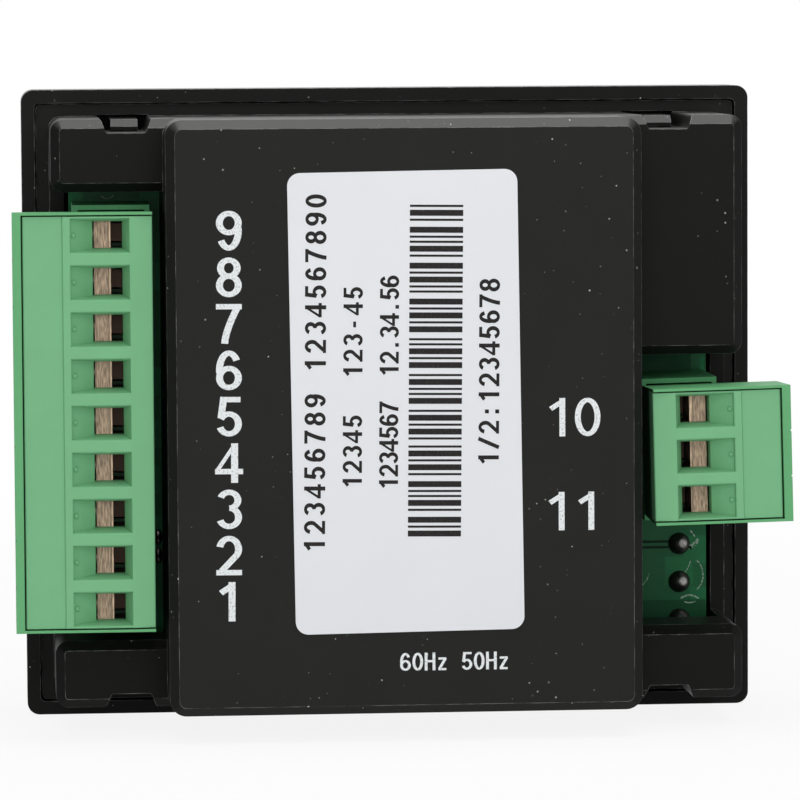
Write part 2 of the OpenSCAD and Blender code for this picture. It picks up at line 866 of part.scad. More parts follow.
module main_header() header_body(main_ways, main_pitch, 1, main_z);
module gen_header() header_body(gen_ways, gen_pitch, -1, gen_z);
module main_header_pins() header_pins(main_ways, main_pitch, 1, main_z);
module gen_header_pins() header_pins(gen_ways, gen_pitch, -1, gen_z);

// Plugs

function contact_half() = pin_w / 2 + slide_gap + contact_t;

// Pockets for one terminal: clamp cage, screw and spring contact
module pole_pockets() {
  wide = cage_w / 2 + pocket_gap;
  span([cage_in - pocket_gap, cage_in + cage_l + pocket_gap], [cage_low, cover_y + over], [-wide, wide]);
  rod_x(screw_y, 0, screw_r + pocket_gap, cage_in + cage_l, head_seat + over);
  rod_x(screw_y, 0, screw_head_r + pocket_gap, head_seat, plug_in + plug_w + over);
  reach = contact_half() + pocket_gap;
  deep = contact_w / 2 + pocket_gap;
  span([block_x - reach, block_x + reach], [nose_y - over, cage_low + over], [-deep, deep]);
}

module plug_body(ways, pitch, side, z)
  color("#78b488")
    at_side(side, z) {
      half = ways * pitch / 2;
      head = half + plug_end;
      nose = half + header_end - header_wall - slide_gap;
      nose_w = header_w / 2 - header_wall - slide_gap;
      recess = head - cover_end_wall;
      difference() {
        union() {
          along_x(plug_in, plug_in + plug_w)
            polygon([
              [shoulder_y, plug_draft - head],
              [plug_y, -head],
              [plug_y, head],
              [shoulder_y, head - plug_draft]
            ]);
          span([block_x - nose_w, block_x + nose_w], [nose_y, shoulder_y + over], [-nose, nose]);
        }
        span([plug_in - over, plug_in + cover_w], [cover_y, plug_y + over], [-recess, recess]);
        for (i = [1:ways])
          translate([0, 0, pole_z(ways, pitch, i)])
            pole_pockets();
        // Grooves between the ways on the screw side
        for (i = [1:ways - 1])
          translate([plug_in + plug_w, 0, pole_z(ways, pitch, i) + pitch / 2])
            span([-groove_d, over], [shoulder_y - over, plug_y + over], [-groove_w / 2, groove_w / 2]);
      }
    }

// A wire window: a guide that slopes down to the wire hole, with eased edges
module wire_window() {
  intersection() {
    along_z(-window_h, window_h)
      polygon([
        [plug_in + window_out + ease, plug_y],
        [plug_in + window_out, plug_y - ease],
        [plug_in + window_out, plug_y - guide_y],
        [plug_in + hole_out, plug_y - guide_low],
        [plug_in + hole_in, plug_y - guide_low],
        [plug_in + window_in - ease, plug_y],
        [plug_in + window_in - ease, plug_y + over],
        [plug_in + window_out + ease, plug_y + over]
      ]);
    along_x(plug_in, plug_in + plug_w)
      polygon([
        [plug_y - guide_low, -hole_h / 2],
        [plug_y - ease, -window_h / 2],
        [plug_y, -window_h / 2 - ease],
        [plug_y + over, -window_h / 2 - ease],
        [plug_y + over, window_h / 2 + ease],
        [plug_y, window_h / 2 + ease],
        [plug_y - ease, window_h / 2],
        [plug_y - guide_low, hole_h / 2]
      ]);
  }
  span(
    [plug_in + hole_in, plug_in + hole_out],
    [cover_y - over, plug_y - guide_low + over / 2],
    [-hole_h / 2, hole_h / 2]
  );
}

module plug_cover(ways, pitch, side, z)
  color("#7bb588")
    at_side(side, z) {
      half = ways * pitch / 2 + plug_end - cover_end_wall - pocket_gap;
      out = plug_in + cover_w - pocket_gap;
      difference() {
        intersection() {
          along_z(-half, half)
            polygon([
              [plug_in, cover_y],
              [out, cover_y],
              [out, plug_y - cover_step - ease],
              [out - ease, plug_y - cover_step],
              [plug_in + step_in + ease, plug_y - cover_step],
              [plug_in + step_in, plug_y],
              [plug_in + window_in, plug_y],
              [plug_in + ease, plug_y - cover_slope],
              [plug_in, plug_y - cover_slope - ease]
            ]);
          along_x(plug_in, out)
            polygon([
              [cover_y, -half],
              [plug_y - ease, -half],
              [plug_y, ease - half],
              [plug_y, half - ease],
              [plug_y - ease, half],
              [cover_y, half]
            ]);
        }
        for (i = [1:ways])
          translate([0, 0, pole_z(ways, pitch, i)])
            wire_window();
      }
      for (i = [1:ways])
        translate([plug_in + window_out - nub_d / 2, plug_y - guide_y - nub_d / 3, pole_z(ways, pitch, i)])
          sphere(d = nub_d, $fn = 24);
    }

module plug_screws(ways, pitch, side, z)
  color("#9b8e7d")
    at_side(side, z)
      for (i = [1:ways])
        translate([0, 0, pole_z(ways, pitch, i)])
          difference() {
            union() {
              rod_x(screw_y, 0, screw_r, plug_in + screw_tip_in, head_seat + over);
              rod_x(screw_y, 0, screw_head_r, head_seat, head_top);
            }
            translate([head_top, screw_y, 0])
              cube([screw_head_h, screw_head_r / 3, 3 * screw_head_r], center = true);
          }

// One clamp cage: a ring round the wire with its screw in the thick side
module clamp_cage(ways, pitch, side, z, i)
  color("#c9b27a")
    at_side(side, z)
      translate([0, 0, pole_z(ways, pitch, i)])
        difference() {
          wide = cage_w / 2;
          thread_in = cage_in + cage_l - cage_thread_t;
          span([cage_in, cage_in + cage_l], [cage_low, cage_top], [-wide, wide]);
          span(
            [cage_in + cage_t, thread_in],
            [cage_low - over, cage_top + over],
            [cage_side_t - wide, wide - cage_side_t]
          );
          rod_x(screw_y, 0, screw_r + lead_gap, thread_in - over / 2, cage_in + cage_l + over);
        }

// One spring contact: a fork whose leaves stand either side of the header's pin
module spring_contact() {
  half = contact_half();
  deep = contact_w / 2;
  span([block_x - half, block_x + half], [cage_low - contact_t, cage_low], [-deep, deep]);
  for (x = [block_x - half, block_x + half - contact_t])
    span([x, x + contact_t], [nose_y + contact_t, cage_low], [-deep, deep]);
}

module plug_contacts(ways, pitch, side, z)
  color("#c8c4b8")
    at_side(side, z)
      for (i = [1:ways])
        translate([0, 0, pole_z(ways, pitch, i)])
          spring_contact();

module main_plug_body() plug_body(main_ways, main_pitch, 1, main_z);
module main_plug_cover() plug_cover(main_ways, main_pitch, 1, main_z);
module main_plug_screws() plug_screws(main_ways, main_pitch, 1, main_z);
module main_plug_contacts() plug_contacts(main_ways, main_pitch, 1, main_z);
module main_cage(i) clamp_cage(main_ways, main_pitch, 1, main_z, i);
module gen_plug_body() plug_body(gen_ways, gen_pitch, -1, gen_z);
module gen_plug_cover() plug_cover(gen_ways, gen_pitch, -1, gen_z);
module gen_plug_screws() plug_screws(gen_ways, gen_pitch, -1, gen_z);
module gen_plug_contacts() plug_contacts(gen_ways, gen_pitch, -1, gen_z);
module gen_cage(i) clamp_cage(gen_ways, gen_pitch, -1, gen_z, i);

// Selector

module at_selector()
  translate([-selector_x, 0, -selector_z])
    children();

module selector_switch()
  color("#3a3a3c")
    at_selector()
      difference() {
        along_y(-switch_front, board_front)
          round_rect(switch_w, switch_w, switch_corner_r);
        rod_y(0, 0, shaft_r + shaft_gap, -switch_front - over, -shaft_back + over);
      }

// Six lugs that leave the switch's sides and pass through the board
module switch_terminals()
  color("silver")
    at_selector()
      for (turn = [0, 180], i = [-1:1])
        rotate([0, turn, 0])
          translate([0, 0, i * switch_pitch]) {
            thick = terminal_w / 2;
            span([switch_w / 2, terminal_x + thick], [-thick, 0], [-thick, thick]);
            span(
              [terminal_x - thick, terminal_x + thick],
              [-thick, board_y + terminal_tail],
              [-thick, thick]
            );
          }

module selector_bush()
  color("#b9b6ac")
    turned(-selector_x, -selector_z)
      difference() {
        union() {
          translate([0, switch_front])
            square([shoulder_r, -plate_back - switch_front]);
          translate([0, switch_front])
            square([bush_r, bush_front - switch_front]);
        }
        translate([0, switch_front - over])
          square([shaft_r + shaft_gap, bush_front - switch_front + 2 * over]);
      }

module selector_washer()
  color("silver")
    turned(-selector_x, -selector_z)
      translate([bush_r + lead_gap, overlay_front])
        square([shoulder_r - bush_r, washer_t]);

module selector_nut()
  color("#c4c1b8")
    at_selector()
      difference() {
        rotate([90, 0, 0])
          translate([0, 0, washer_front])
            cylinder(r = nut_w / sqrt(3), h = nut_t, $fn = 6);
        rod_y(0, 0, bush_r + lead_gap, -nut_front - over, -washer_front + over);
      }

// The shaft has a flat where the knob grips it
module selector_shaft()
  color("#c0beb6")
    at_selector()
      rotate([0, -knob_rest, 0])
        difference() {
          rod_y(0, 0, shaft_r, -shaft_front, -shaft_back);
          span(
            [-shaft_r - over, shaft_r + over],
            [-shaft_front - over, -bush_front - knob_gap / 2],
            [-shaft_r - over, -flat_cut]
          );
        }

module knob_bore()
  difference() {
    rod_y(0, 0, shaft_r + lead_gap, -shaft_front - lead_gap, -knob_back + over);
    span(
      [-shaft_r - over, shaft_r + over],
      [-shaft_front - over, -bush_front - knob_gap],
      [-shaft_r - over, -flat_cut - lead_gap]
    );
  }

module pointer_bar()
  span(
    [-pointer_w / 2, pointer_w / 2],
    [-knob_front, -knob_front + pointer_t],
    [grip_t / 2, knob_r - knob_wall - pointer_t]
  );

// A round skirt over the nut with a straight grip across it
module selector_knob()
  color("#1d1d1f")
    at_selector()
      rotate([0, -knob_rest, 0])
        difference() {
          union() {
            turned(0, 0)
              polygon([
                [0, knob_back],
                [knob_r, knob_back],
                [knob_r, knob_back + knob_skirt_h / 2],
                [knob_r - knob_wall, skirt_front],
                [0, skirt_front]
              ]);
            intersection() {
              turned(0, 0)
                polygon([
                  [0, knob_back],
                  [knob_r - grip_draft, knob_back],
                  [knob_r - knob_wall, knob_front],
                  [0, knob_front]
                ]);
              span(
                [-grip_t / 2, grip_t / 2], [-knob_front - over, -knob_back], [-knob_r, knob_r]
              );
            }
          }
          rod_y(0, 0, nut_room, -bush_front - knob_gap, -knob_back + over);
          knob_bore();
          pointer_bar();
        }

module knob_pointer()
  color("white")
    at_selector()
      rotate([0, -knob_rest, 0])
        pointer_bar();

// Lamps

module lamp(i)
  color(lamp_colours[i - 1]) {
    turned(lamps[i - 1][0], lamps[i - 1][1]) {
      translate([0, lamp_back])
        square([lamp_flange_r, lamp_flange_t]);
      translate([0, lamp_back])
        square([lamp_r, lamp_flange_t + lamp_l - lamp_r]);
      intersection() {
        translate([0, lamp_top - lamp_r])
          circle(r = lamp_r, $fn = round_fn);
        translate([0, lamp_back])
          square([lamp_r, lamp_top]);
      }
    }
    for (side = [-1, 1])
      translate([lamps[i - 1][0] + side * lamp_lead_dx, 0, lamps[i - 1][1]])
        span(
          [-lamp_lead_w / 2, lamp_lead_w / 2],
          [-lamp_back, board_y + lamp_tail],
          [-lamp_lead_w / 2, lamp_lead_w / 2]
        );
  }

// Seats under the lamps, joined in two rows
module lamp_holder()
  color("#d8d8d2")
    difference() {
      union() {
        for (p = lamps)
          rod_y(p[0], p[1], holder_r, -lamp_back, board_front);
        for (row = [0, 1])
          span(
            [-lamp_dx, lamp_dx],
            [board_front - holder_bar, board_front],
            [lamp_z + row * lamp_dz - holder_bar / 2, lamp_z + row * lamp_dz + holder_bar / 2]
          );
        span(
          [-holder_bar / 2, holder_bar / 2],
          [board_front - holder_bar, board_front],
          [lamp_z, lamp_z + lamp_dz]
        );
      }
      at_lamp_leads()
        rod_y(0, 0, lamp_lead_w / sqrt(2) + lead_gap, -lamp_back - over, board_front + over);
    }

// Inner parts on the rear of the board

module relay(x)
  translate([x, 0, relay_z])
    intersection() {
      along_y(board_y, board_y + relay_h)
        round_rect(relay_w, relay_l, relay_bevel);
      along_x(-relay_w / 2, relay_w / 2)
        polygon([
          [board_y, -relay_l / 2],
          [board_y + relay_h - relay_bevel, -relay_l / 2],
          [board_y + relay_h, relay_bevel - relay_l / 2],
          [board_y + relay_h, relay_l / 2 - relay_bevel],
          [board_y + relay_h - relay_bevel, relay_l / 2],
          [board_y, relay_l / 2]
        ]);
    }

module fuel_relay() color("#2d4f86") relay(relay_x);
module crank_relay() color("#2d4f86") relay(-relay_x);

module processor()
  color("#232325")
    translate([0, 0, chip_z]) {
      half_w = chip_w / 2;
      chip_low = board_y + chip_stand;
      chip_top = chip_low + chip_t;
      leg_y = chip_low + chip_leg_y;
      leg_x = half_w + chip_leg_out;
      difference() {
        span([-half_w, half_w], [chip_low, chip_top], [-chip_half_l, chip_half_l]);
        rod_y(0, chip_half_l, half_w / 3, chip_top - chip_leg_t, chip_top + over);
      }
      for (side = [-1, 1], i = [1:chip_legs])
        translate([0, 0, (i - (chip_legs + 1) / 2) * chip_pitch])
          mirror([side < 0 ? 1 : 0, 0, 0]) {
            span([half_w, leg_x], [leg_y, leg_y + chip_leg_t], [-lead_w, lead_w]);
            span([leg_x - chip_leg_t, leg_x], [board_y, leg_y + chip_leg_t], [-lead_w, lead_w]);
          }
    }

// A rolled can with a bead near its foot
module supply_capacitor()
  color("#2b3350")
    translate([capacitor_place[0], board_y, capacitor_place[1]])
      rotate([-90, 0, 0])
        rotate_extrude($fn = round_fn)
          polygon([
            [0, 0],
            [capacitor_r - can_bead, 0],
            [capacitor_r, can_bead],
            [capacitor_r, can_bead_y - can_bead],
            [capacitor_r - can_bead, can_bead_y],
            [capacitor_r, can_bead_y + can_bead],
            [capacitor_r, capacitor_h - can_bead],
            [capacitor_r - can_bead, capacitor_h],
            [0, capacitor_h]
          ]);

// A three-legged regulator that stands up with its tab behind it
module voltage_regulator()
  color("#3b3b3d")
    translate([regulator_place[0], board_y, regulator_place[1]]) {
      wide = [-regulator_w / 2, regulator_w / 2];
      back = regulator_t - tab_t - lead_w;
      for (x = [-chip_pitch, 0, chip_pitch])
        span([x - lead_w / 2, x + lead_w / 2], [0, regulator_low + over], [-lead_w / 2, lead_w / 2]);
      span(wide, [regulator_low, regulator_top], [back + tab_t - regulator_t, back + tab_t]);
      difference() {
        span(wide, [regulator_low, tab_top], [back, back + tab_t]);
        translate([0, (regulator_top + tab_top) / 2, back - over])
          cylinder(r = tab_hole_r, h = tab_t + 2 * over, $fn = round_fn);
      }
    }

module surge_varistor()
  color("#2f5ea8")
    translate([varistor_place[0], board_y, varistor_place[1]]) {
      for (z = [-1, 1])
        rod_y(0, z * varistor_r / 2, lead_w / 2, 0, varistor_r);
      rod_x(varistor_r + part_gap, 0, varistor_r, -varistor_t / 2, varistor_t / 2);
    }

// An axial resistor lying on the board with its leads bent down
module sense_resistor(i)
  color("#c9b08a")
    translate([resistor_place[0], board_y, resistor_place[1] - (i - 1) * resistor_step]) {
      rod_x(resistor_r, 0, resistor_r, -resistor_l / 2, resistor_l / 2);
      for (side = [-1, 1])
        mirror([side < 0 ? 1 : 0, 0, 0]) {
          span(
            [resistor_l / 2 - over, resistor_l / 2 + resistor_end],
            [resistor_r - lead_w / 2, resistor_r + lead_w / 2],
            [-lead_w / 2, lead_w / 2]
          );
          span(
            [resistor_l / 2 + resistor_end - lead_w, resistor_l / 2 + resistor_end],
            [0, resistor_r],
            [-lead_w / 2, lead_w / 2]
          );
        }
    }

// Three pins that set the frequency, with a cap over two of them
module link_header()
  color("#222224")
    translate([link_place[0], board_y, link_place[1]]) {
      span([-1.5 * link_pitch, 1.5 * link_pitch], [0, link_pitch], [-link_pitch / 2, link_pitch / 2]);
      for (i = [-1:1])
        translate([i * link_pitch, 0, 0])
          span([-lead_w / 2, lead_w / 2], [0, link_pitch + link_pin_h], [-lead_w / 2, lead_w / 2]);
    }

module link_cap()
  color("#2a5db0")
    translate([link_place[0] + link_pitch / 2, board_y + link_pitch, link_place[1]])
      difference() {
        span(
          [lead_gap - link_pitch, link_pitch - lead_gap], [0, link_cap_h], [-link_pitch / 2, link_pitch / 2]
        );
        for (side = [-1, 1])
          translate([side * link_pitch / 2, 0, 0])
            span(
              [-lead_w / 2 - lead_gap, lead_w / 2 + lead_gap],
              [-over, link_pin_h + lead_gap],
              [-lead_w / 2 - lead_gap, lead_w / 2 + lead_gap]
            );
      }

front_bezel();
fascia_overlay();
rear_case();
rating_label();
main_board();
board_screws();
main_header();
main_header_pins();
gen_header();
gen_header_pins();
main_plug_body();
main_plug_cover();
main_plug_screws();
main_plug_contacts();
gen_plug_body();
gen_plug_cover();
gen_plug_screws();
gen_plug_contacts();
selector_switch();
switch_terminals();
selector_bush();
selector_washer();
selector_nut();
selector_shaft();
selector_knob();
knob_pointer();
lamp_holder();
solder_joints();
fuel_relay();
crank_relay();
processor();
supply_capacitor();
voltage_regulator();
surge_varistor();
link_header();
link_cap();
for (i = [1:main_ways])
  main_cage(i);
for (i = [1:gen_ways])
  gen_cage(i);
for (i = [1:len(lamps)])
  lamp(i);
for (i = [1:resistor_count])
  sense_resistor(i);
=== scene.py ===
"""Dresses the genset controller: mouldings, terminal blocks, print, solder, lamps and studio."""

import math
from collections import namedtuple

import bmesh
import bpy
import numpy as np
from mathutils import Matrix, Vector


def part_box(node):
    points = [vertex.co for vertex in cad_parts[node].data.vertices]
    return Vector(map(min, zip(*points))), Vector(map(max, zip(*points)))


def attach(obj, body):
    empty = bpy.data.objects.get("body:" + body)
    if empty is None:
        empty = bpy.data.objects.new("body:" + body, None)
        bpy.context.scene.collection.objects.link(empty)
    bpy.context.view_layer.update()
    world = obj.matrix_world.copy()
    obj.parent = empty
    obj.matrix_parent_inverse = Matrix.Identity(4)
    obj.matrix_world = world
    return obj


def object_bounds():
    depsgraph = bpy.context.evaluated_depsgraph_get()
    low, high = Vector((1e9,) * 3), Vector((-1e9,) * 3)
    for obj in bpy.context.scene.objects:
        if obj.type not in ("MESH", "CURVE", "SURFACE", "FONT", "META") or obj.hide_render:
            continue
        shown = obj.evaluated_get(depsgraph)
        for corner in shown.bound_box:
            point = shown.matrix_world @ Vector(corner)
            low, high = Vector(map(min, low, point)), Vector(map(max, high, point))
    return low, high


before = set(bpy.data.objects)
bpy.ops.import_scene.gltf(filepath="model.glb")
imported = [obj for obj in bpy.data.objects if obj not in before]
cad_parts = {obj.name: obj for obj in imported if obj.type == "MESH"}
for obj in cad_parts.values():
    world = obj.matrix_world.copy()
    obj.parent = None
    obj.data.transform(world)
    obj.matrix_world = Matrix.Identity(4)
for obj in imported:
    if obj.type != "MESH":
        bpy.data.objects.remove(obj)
CAD_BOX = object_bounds()

bl_info = {
    "name": "Genset controller finishes",
    "version": (1, 0, 0),
    "blender": (4, 5, 0),
    "location": "3D View > Sidebar > Controller",
    "description": "Finishes, print and studio for a panel-mounted genset controller",
    "category": "Object",
}

MM = 0.001


def linear(code):
    """The linear red, green and blue of an sRGB hex colour."""
    srgb = np.array([int(code[i : i + 2], 16) for i in (1, 3, 5)]) / 255
    return tuple(np.where(srgb <= 0.04045, srgb / 12.92, ((srgb + 0.055) / 1.055) ** 2.4))


def box_mm(node):
    """The lowest and highest corner of a CAD node, in millimetres."""
    low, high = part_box(node)
    return np.array(low) / MM, np.array(high) / MM


def length(name, about, millimetres):
    return bpy.props.FloatProperty(
        name=name, description=about, default=millimetres * MM, unit="LENGTH", precision=5
    )


def angle(name, about, degrees):
    return bpy.props.FloatProperty(
        name=name, description=about, default=math.radians(degrees), subtype="ANGLE"
    )


def colour(name, about, code):
    return bpy.props.FloatVectorProperty(
        name=name, description=about, default=linear(code), subtype="COLOR", size=3, min=0, max=1
    )


class ControllerFinish(bpy.types.PropertyGroup):
    """Colours of the controller's materials."""

    raised: colour("Raised middle", "Black of the case's grained raised middle", "#262625")
    wing: colour("Wings", "Black of the case's smoother wings", "#171716")
    flange: colour("Flange", "Black of the case's flange, inside the bezel's rim", "#232322")
    bezel: colour("Bezel", "Black of the front bezel", "#1a1a19")
    plug: colour("Plugs", "Green of the plug bodies", "#61a871")
    cover: colour("Wire covers", "Green of the plugs' wire covers", "#74b383")
    header: colour("Headers", "Green of the headers on the board", "#4a945f")
    mask: colour("Solder mask", "Green of the board's solder mask", "#1c613b")
    ink: colour("White ink", "White of the screen print", "#e6eaeb")
    label: colour("Label", "White of the label film", "#e0e2e6")
    film: colour("Overlay", "Grey of the front overlay film", "#2b2f33")


class ControllerPrint(bpy.types.PropertyGroup):
    """Sizes of the printed marks."""

    digit_h: length("Digit height", "Height of the terminal numbers", 4.3)
    digit_step: length("Digit spacing", "Distance between the numbers of the 9-way block", 5.04)
    digit_x: length("Digit place", "Distance of the 9-way numbers from the middle", 19.28)
    digit_top: length("Top digit", "Height of the topmost number", 20.36)
    digit_lean: angle("Digit lean", "How far the column of numbers leans", -0.42)
    label_lean: angle("Label lean", "How far the label leans", -0.7)
    ink_t: length("Ink thickness", "Thickness of the screen print", 0.02)
    bars: bpy.props.IntProperty(
        name="Bars", description="Number of printed bars on the label", default=46, min=8
    )


class ControllerStage(bpy.types.PropertyGroup):
    """Camera, floor and lights."""

    distance: length("Camera distance", "Distance of the camera from the rear rim", 575)
    tilt: angle("Camera tilt", "How far the camera looks down", 4.327)
    swing: angle("Camera swing", "How far the camera stands to the side", 4.443)
    roll: angle("Camera roll", "Turn of the picture", 0.678)
    shift_x: length("Picture shift across", "How far the object sits off the picture's middle", -1.369)
    shift_z: length("Picture shift up", "How far the object sits above the picture's middle", 0.042)
    lens: bpy.props.FloatProperty(
        name="Lens", description="Focal length of the camera", default=227.3, unit="CAMERA"
    )
    floor_r: length("Floor radius", "Radius of the pale floor", 900)
    light_size: length("Light size", "Side of each square soft light", 600)
    top_power: bpy.props.FloatProperty(
        name="Top light", description="Power of the light above", default=2.8, unit="POWER"
    )
    front_power: bpy.props.FloatProperty(
        name="Camera light", description="Power of the light by the camera", default=2.4, unit="POWER"
    )


# Surfaces, in millimetres

Plane = namedtuple("Plane", "origin right up normal")
Surface = namedtuple("Surface", "points faces")


def rear_plane(y, turn=0.0, middle=0.0):
    """The plane at depth y that faces the rear: right is -X and up is +Z, turned about a middle height."""
    c, s = math.cos(turn), math.sin(turn)
    return Plane(np.array([0, y, middle]), np.array([-c, 0, s]), np.array([s, 0, c]), np.array([0, 1, 0]))


def front_plane(y):
    """The plane at depth y that faces the front: right is +X and up is +Z."""
    return Plane(np.array([0, y, 0]), np.array([1, 0, 0]), np.array([0, 0, 1]), np.array([0, -1, 0]))


def on_plane(plane, flat, lift=0.0):
    """Flat points carried into space: the origin plus steps to the right, up and along the normal."""
    flat = np.asarray(flat, float)
    across, up = np.outer(flat[:, 0], plane.right), np.outer(flat[:, 1], plane.up)
    return plane.origin + across + up + lift * plane.normal


def grid_faces(rows, columns, wrap=False):
    """Quads of a grid of points, row after row; wrap joins the last column to the first."""
    r = np.arange(rows - 1)[:, None]
    c = np.arange(columns if wrap else columns - 1)[None, :]
    n = (c + 1) % columns
    quads = np.stack([r * columns + c, r * columns + n, (r + 1) * columns + n, (r + 1) * columns + c], -1)
    return quads.reshape(-1, 4).tolist()


def joined(surfaces):
    """Several surfaces as one, with their faces counted on."""
    starts = np.cumsum([0] + [len(s.points) for s in surfaces])
    faces = [[i + start for i in face] for s, start in zip(surfaces, starts) for face in s.faces]
    return Surface(np.concatenate([s.points for s in surfaces]), faces)


def prism(plane, outline, low, high):
    """A closed slab: a convex outline on a plane at two heights, walls between them, and both ends."""
    n = len(outline)
    points = np.concatenate([on_plane(plane, outline, low), on_plane(plane, outline, high)])
    return Surface(points, grid_faces(2, n, wrap=True) + [list(range(n))[::-1], list(range(n, 2 * n))])


def mound(plane, x, z, wide, tall, height, rows=8, count=24):
    """A closed mound on an oval foot, with a point on top: each ring shrinks as the cosine of an angle and
    rises as its sine."""
    turns = np.linspace(0, np.pi / 2, rows, endpoint=False)
    foot = ring(0, 0, 1, count) * [wide / 2, tall / 2]
    rings = [on_plane(plane, [x, z] + foot * np.cos(t), height * np.sin(t)) for t in turns]
    last, tip = (rows - 1) * count, rows * count
    cap = [[last + i, last + (i + 1) % count, tip] for i in range(count)]
    faces = grid_faces(rows, count, wrap=True) + cap + [list(range(count))[::-1]]
    return Surface(np.concatenate([*rings, on_plane(plane, [(x, z)], height)]), faces)


def ribbon(plane, path, width, lift, thickness, closed=False):
    """A flat band along a path: four corner lines, half a pen's width to each side, on two heights. A pen may
    have two widths, one across and one up."""
    path = np.asarray(path, float)
    if closed:
        run = np.roll(path, -1, 0) - np.roll(path, 1, 0)
    else:
        run = np.gradient(path, axis=0)
    run /= np.linalg.norm(run, axis=1)[:, None]
    side = np.stack([-run[:, 1], run[:, 0]], -1) * width / 2
    corners = [(side, lift), (-side, lift), (-side, lift + thickness), (side, lift + thickness)]
    lines = [on_plane(plane, path + offset, height) for offset, height in corners]
    points = np.stack(lines, 1).reshape(-1, 3)
    rows = len(path)
    faces = grid_faces(rows, 4, wrap=True)
    if closed:
        last = (rows - 1) * 4
        faces += [[last + i, last + (i + 1) % 4, (i + 1) % 4, i] for i in range(4)]
    else:
        faces += [[3, 2, 1, 0], [(rows - 1) * 4 + i for i in range(4)]]
    return Surface(points, faces)


def arc(x, z, radius, start, end, count=24):
    """Points on a circle from a start angle to an end angle, in degrees."""
    a = np.radians(np.linspace(start, end, count))
    return np.stack([x + radius * np.cos(a), z + radius * np.sin(a)], -1)


def ring(x, z, radius, count=40):
    """Points once round a circle."""
    return arc(x, z, radius, 0, 360, count + 1)[:-1]


def rounded(width, height, radius, count=8):
    """Outline of a rectangle with round corners: four quarter circles in turn."""
    corners = [(1, 1, 0), (-1, 1, 90), (-1, -1, 180), (1, -1, 270)]
    return np.concatenate(
        [
            arc(x * (width / 2 - radius), z * (height / 2 - radius), radius, a, a + 90, count)
            for x, z, a in corners
        ]
    )


def bar(x, z, width, height):
    """Outline of a plain rectangle about its middle."""
    corners = np.array([(-1, -1), (1, -1), (1, 1), (-1, 1)])
    return np.array([x, z]) + corners * [width / 2, height / 2]


def figure(mark, wide, stem, bar):
    """Centre lines of a plain figure one unit tall: arcs of ellipses and straight strokes, by its width and
    the two widths of the pen."""
    half, s, b = wide / 2, stem / 2, bar / 2
    r = half - s
    t, waist = 1 - b, 0.53
    low, high = (waist - b) / 2, (t - waist) / 2

    def bow(z, rx, rz, start, end):
        a = np.radians(np.linspace(start, end, 40))
        return np.stack([rx * np.cos(a), z + rz * np.sin(a)], -1)

    def stroke(*corners):
        return np.array(corners, float)

    fall = np.linspace(1, 0, 12)
    six = [bow(b + 0.24, r, 0.24, 0, 360), bow(0.5, r, t - 0.5, 190, 35)]
    return {
        "0": [bow(0.5, r, t - 0.5, 0, 360)],
        "1": [stroke((0.3 * r, 0), (0.3 * r, 1)), stroke((0.3 * r, 0.91), (-0.88 * r, 0.72))],
        "2": [
            np.concatenate([bow(t - 0.27, r, 0.27, 168, -32), stroke((-0.8 * r, 1.6 * b))]),
            stroke((-r - s, b), (r + s, b)),
        ],
        "3": [bow(waist + high, 0.93 * r, high, 160, -88), bow(b + low, r, low, 88, -160)],
        "4": [
            stroke((0.43 * half, 0), (0.43 * half, 1)),
            stroke((-1.09 * half, 0.285), (1.09 * half, 0.285)),
            stroke((0.37 * half, 0.93), (-0.97 * half, 0.285)),
        ],
        "5": [
            stroke((-0.55 * r - s, t), (r + 0.6 * s, t)),
            stroke((-0.55 * r, 1), (-0.85 * r, 0.46)),
            bow(b + 0.25, r, 0.25, 150, -160),
        ],
        "6": six,
        "7": [stroke((-r - s, t), (r + s, t)), np.stack([r * (1.4 * fall**1.5 - 0.45), t * fall], -1)],
        "8": [bow(waist + high, 0.88 * r, high, 0, 360), bow(b + low, r, low, 0, 360)],
        "9": [[0, 1] - path for path in six],
        "H": [stroke((-r, 0), (-r, 1)), stroke((r, 0), (r, 1)), stroke((-r, 0.52), (r, 0.52))],
        "z": [
            stroke((-r, 0.72 - b), (r, 0.72 - b)),
            stroke((0.8 * r, 0.72 - b), (-0.8 * r, b)),
            stroke((-r, b), (r, b)),
        ],
        "-": [stroke((-0.7 * r, 0.42), (0.7 * r, 0.42))],
        ".": [stroke((0, 0), (0, stem))],
        ":": [stroke((0, 0), (0, stem)), stroke((0, 0.5), (0, 0.5 + stem))],
        "/": [stroke((-r, 0), (r, 1))],
        " ": [],
    }[mark]


def lettering(plane, text, x, z, tall, wide, line, step, thickness):
    """Figures in a row about a middle point, drawn with a pen that is wider across than up. Each stroke is a
    band, a tenth of the thickness higher than the one before it, and the slanted stroke of a 4 is thinner."""
    pen = np.array([line, 0.77 * line])
    thin = {("4", 2): 0.6}
    rise = 0.1
    parts = []
    for i, mark in enumerate(text):
        shift = (i - (len(text) - 1) / 2) * step
        for j, path in enumerate(figure(mark, wide / tall, *pen / tall)):
            flat = path * tall + [x + shift, z - tall / 2]
            loop = bool(np.allclose(flat[0], flat[-1]))
            nib = pen * thin.get((mark, j), 1.0)
            if loop:
                flat = flat[:-1]
            parts.append(ribbon(plane, flat, nib, 0, thickness * (1 + rise * j), loop))
    return joined(parts)


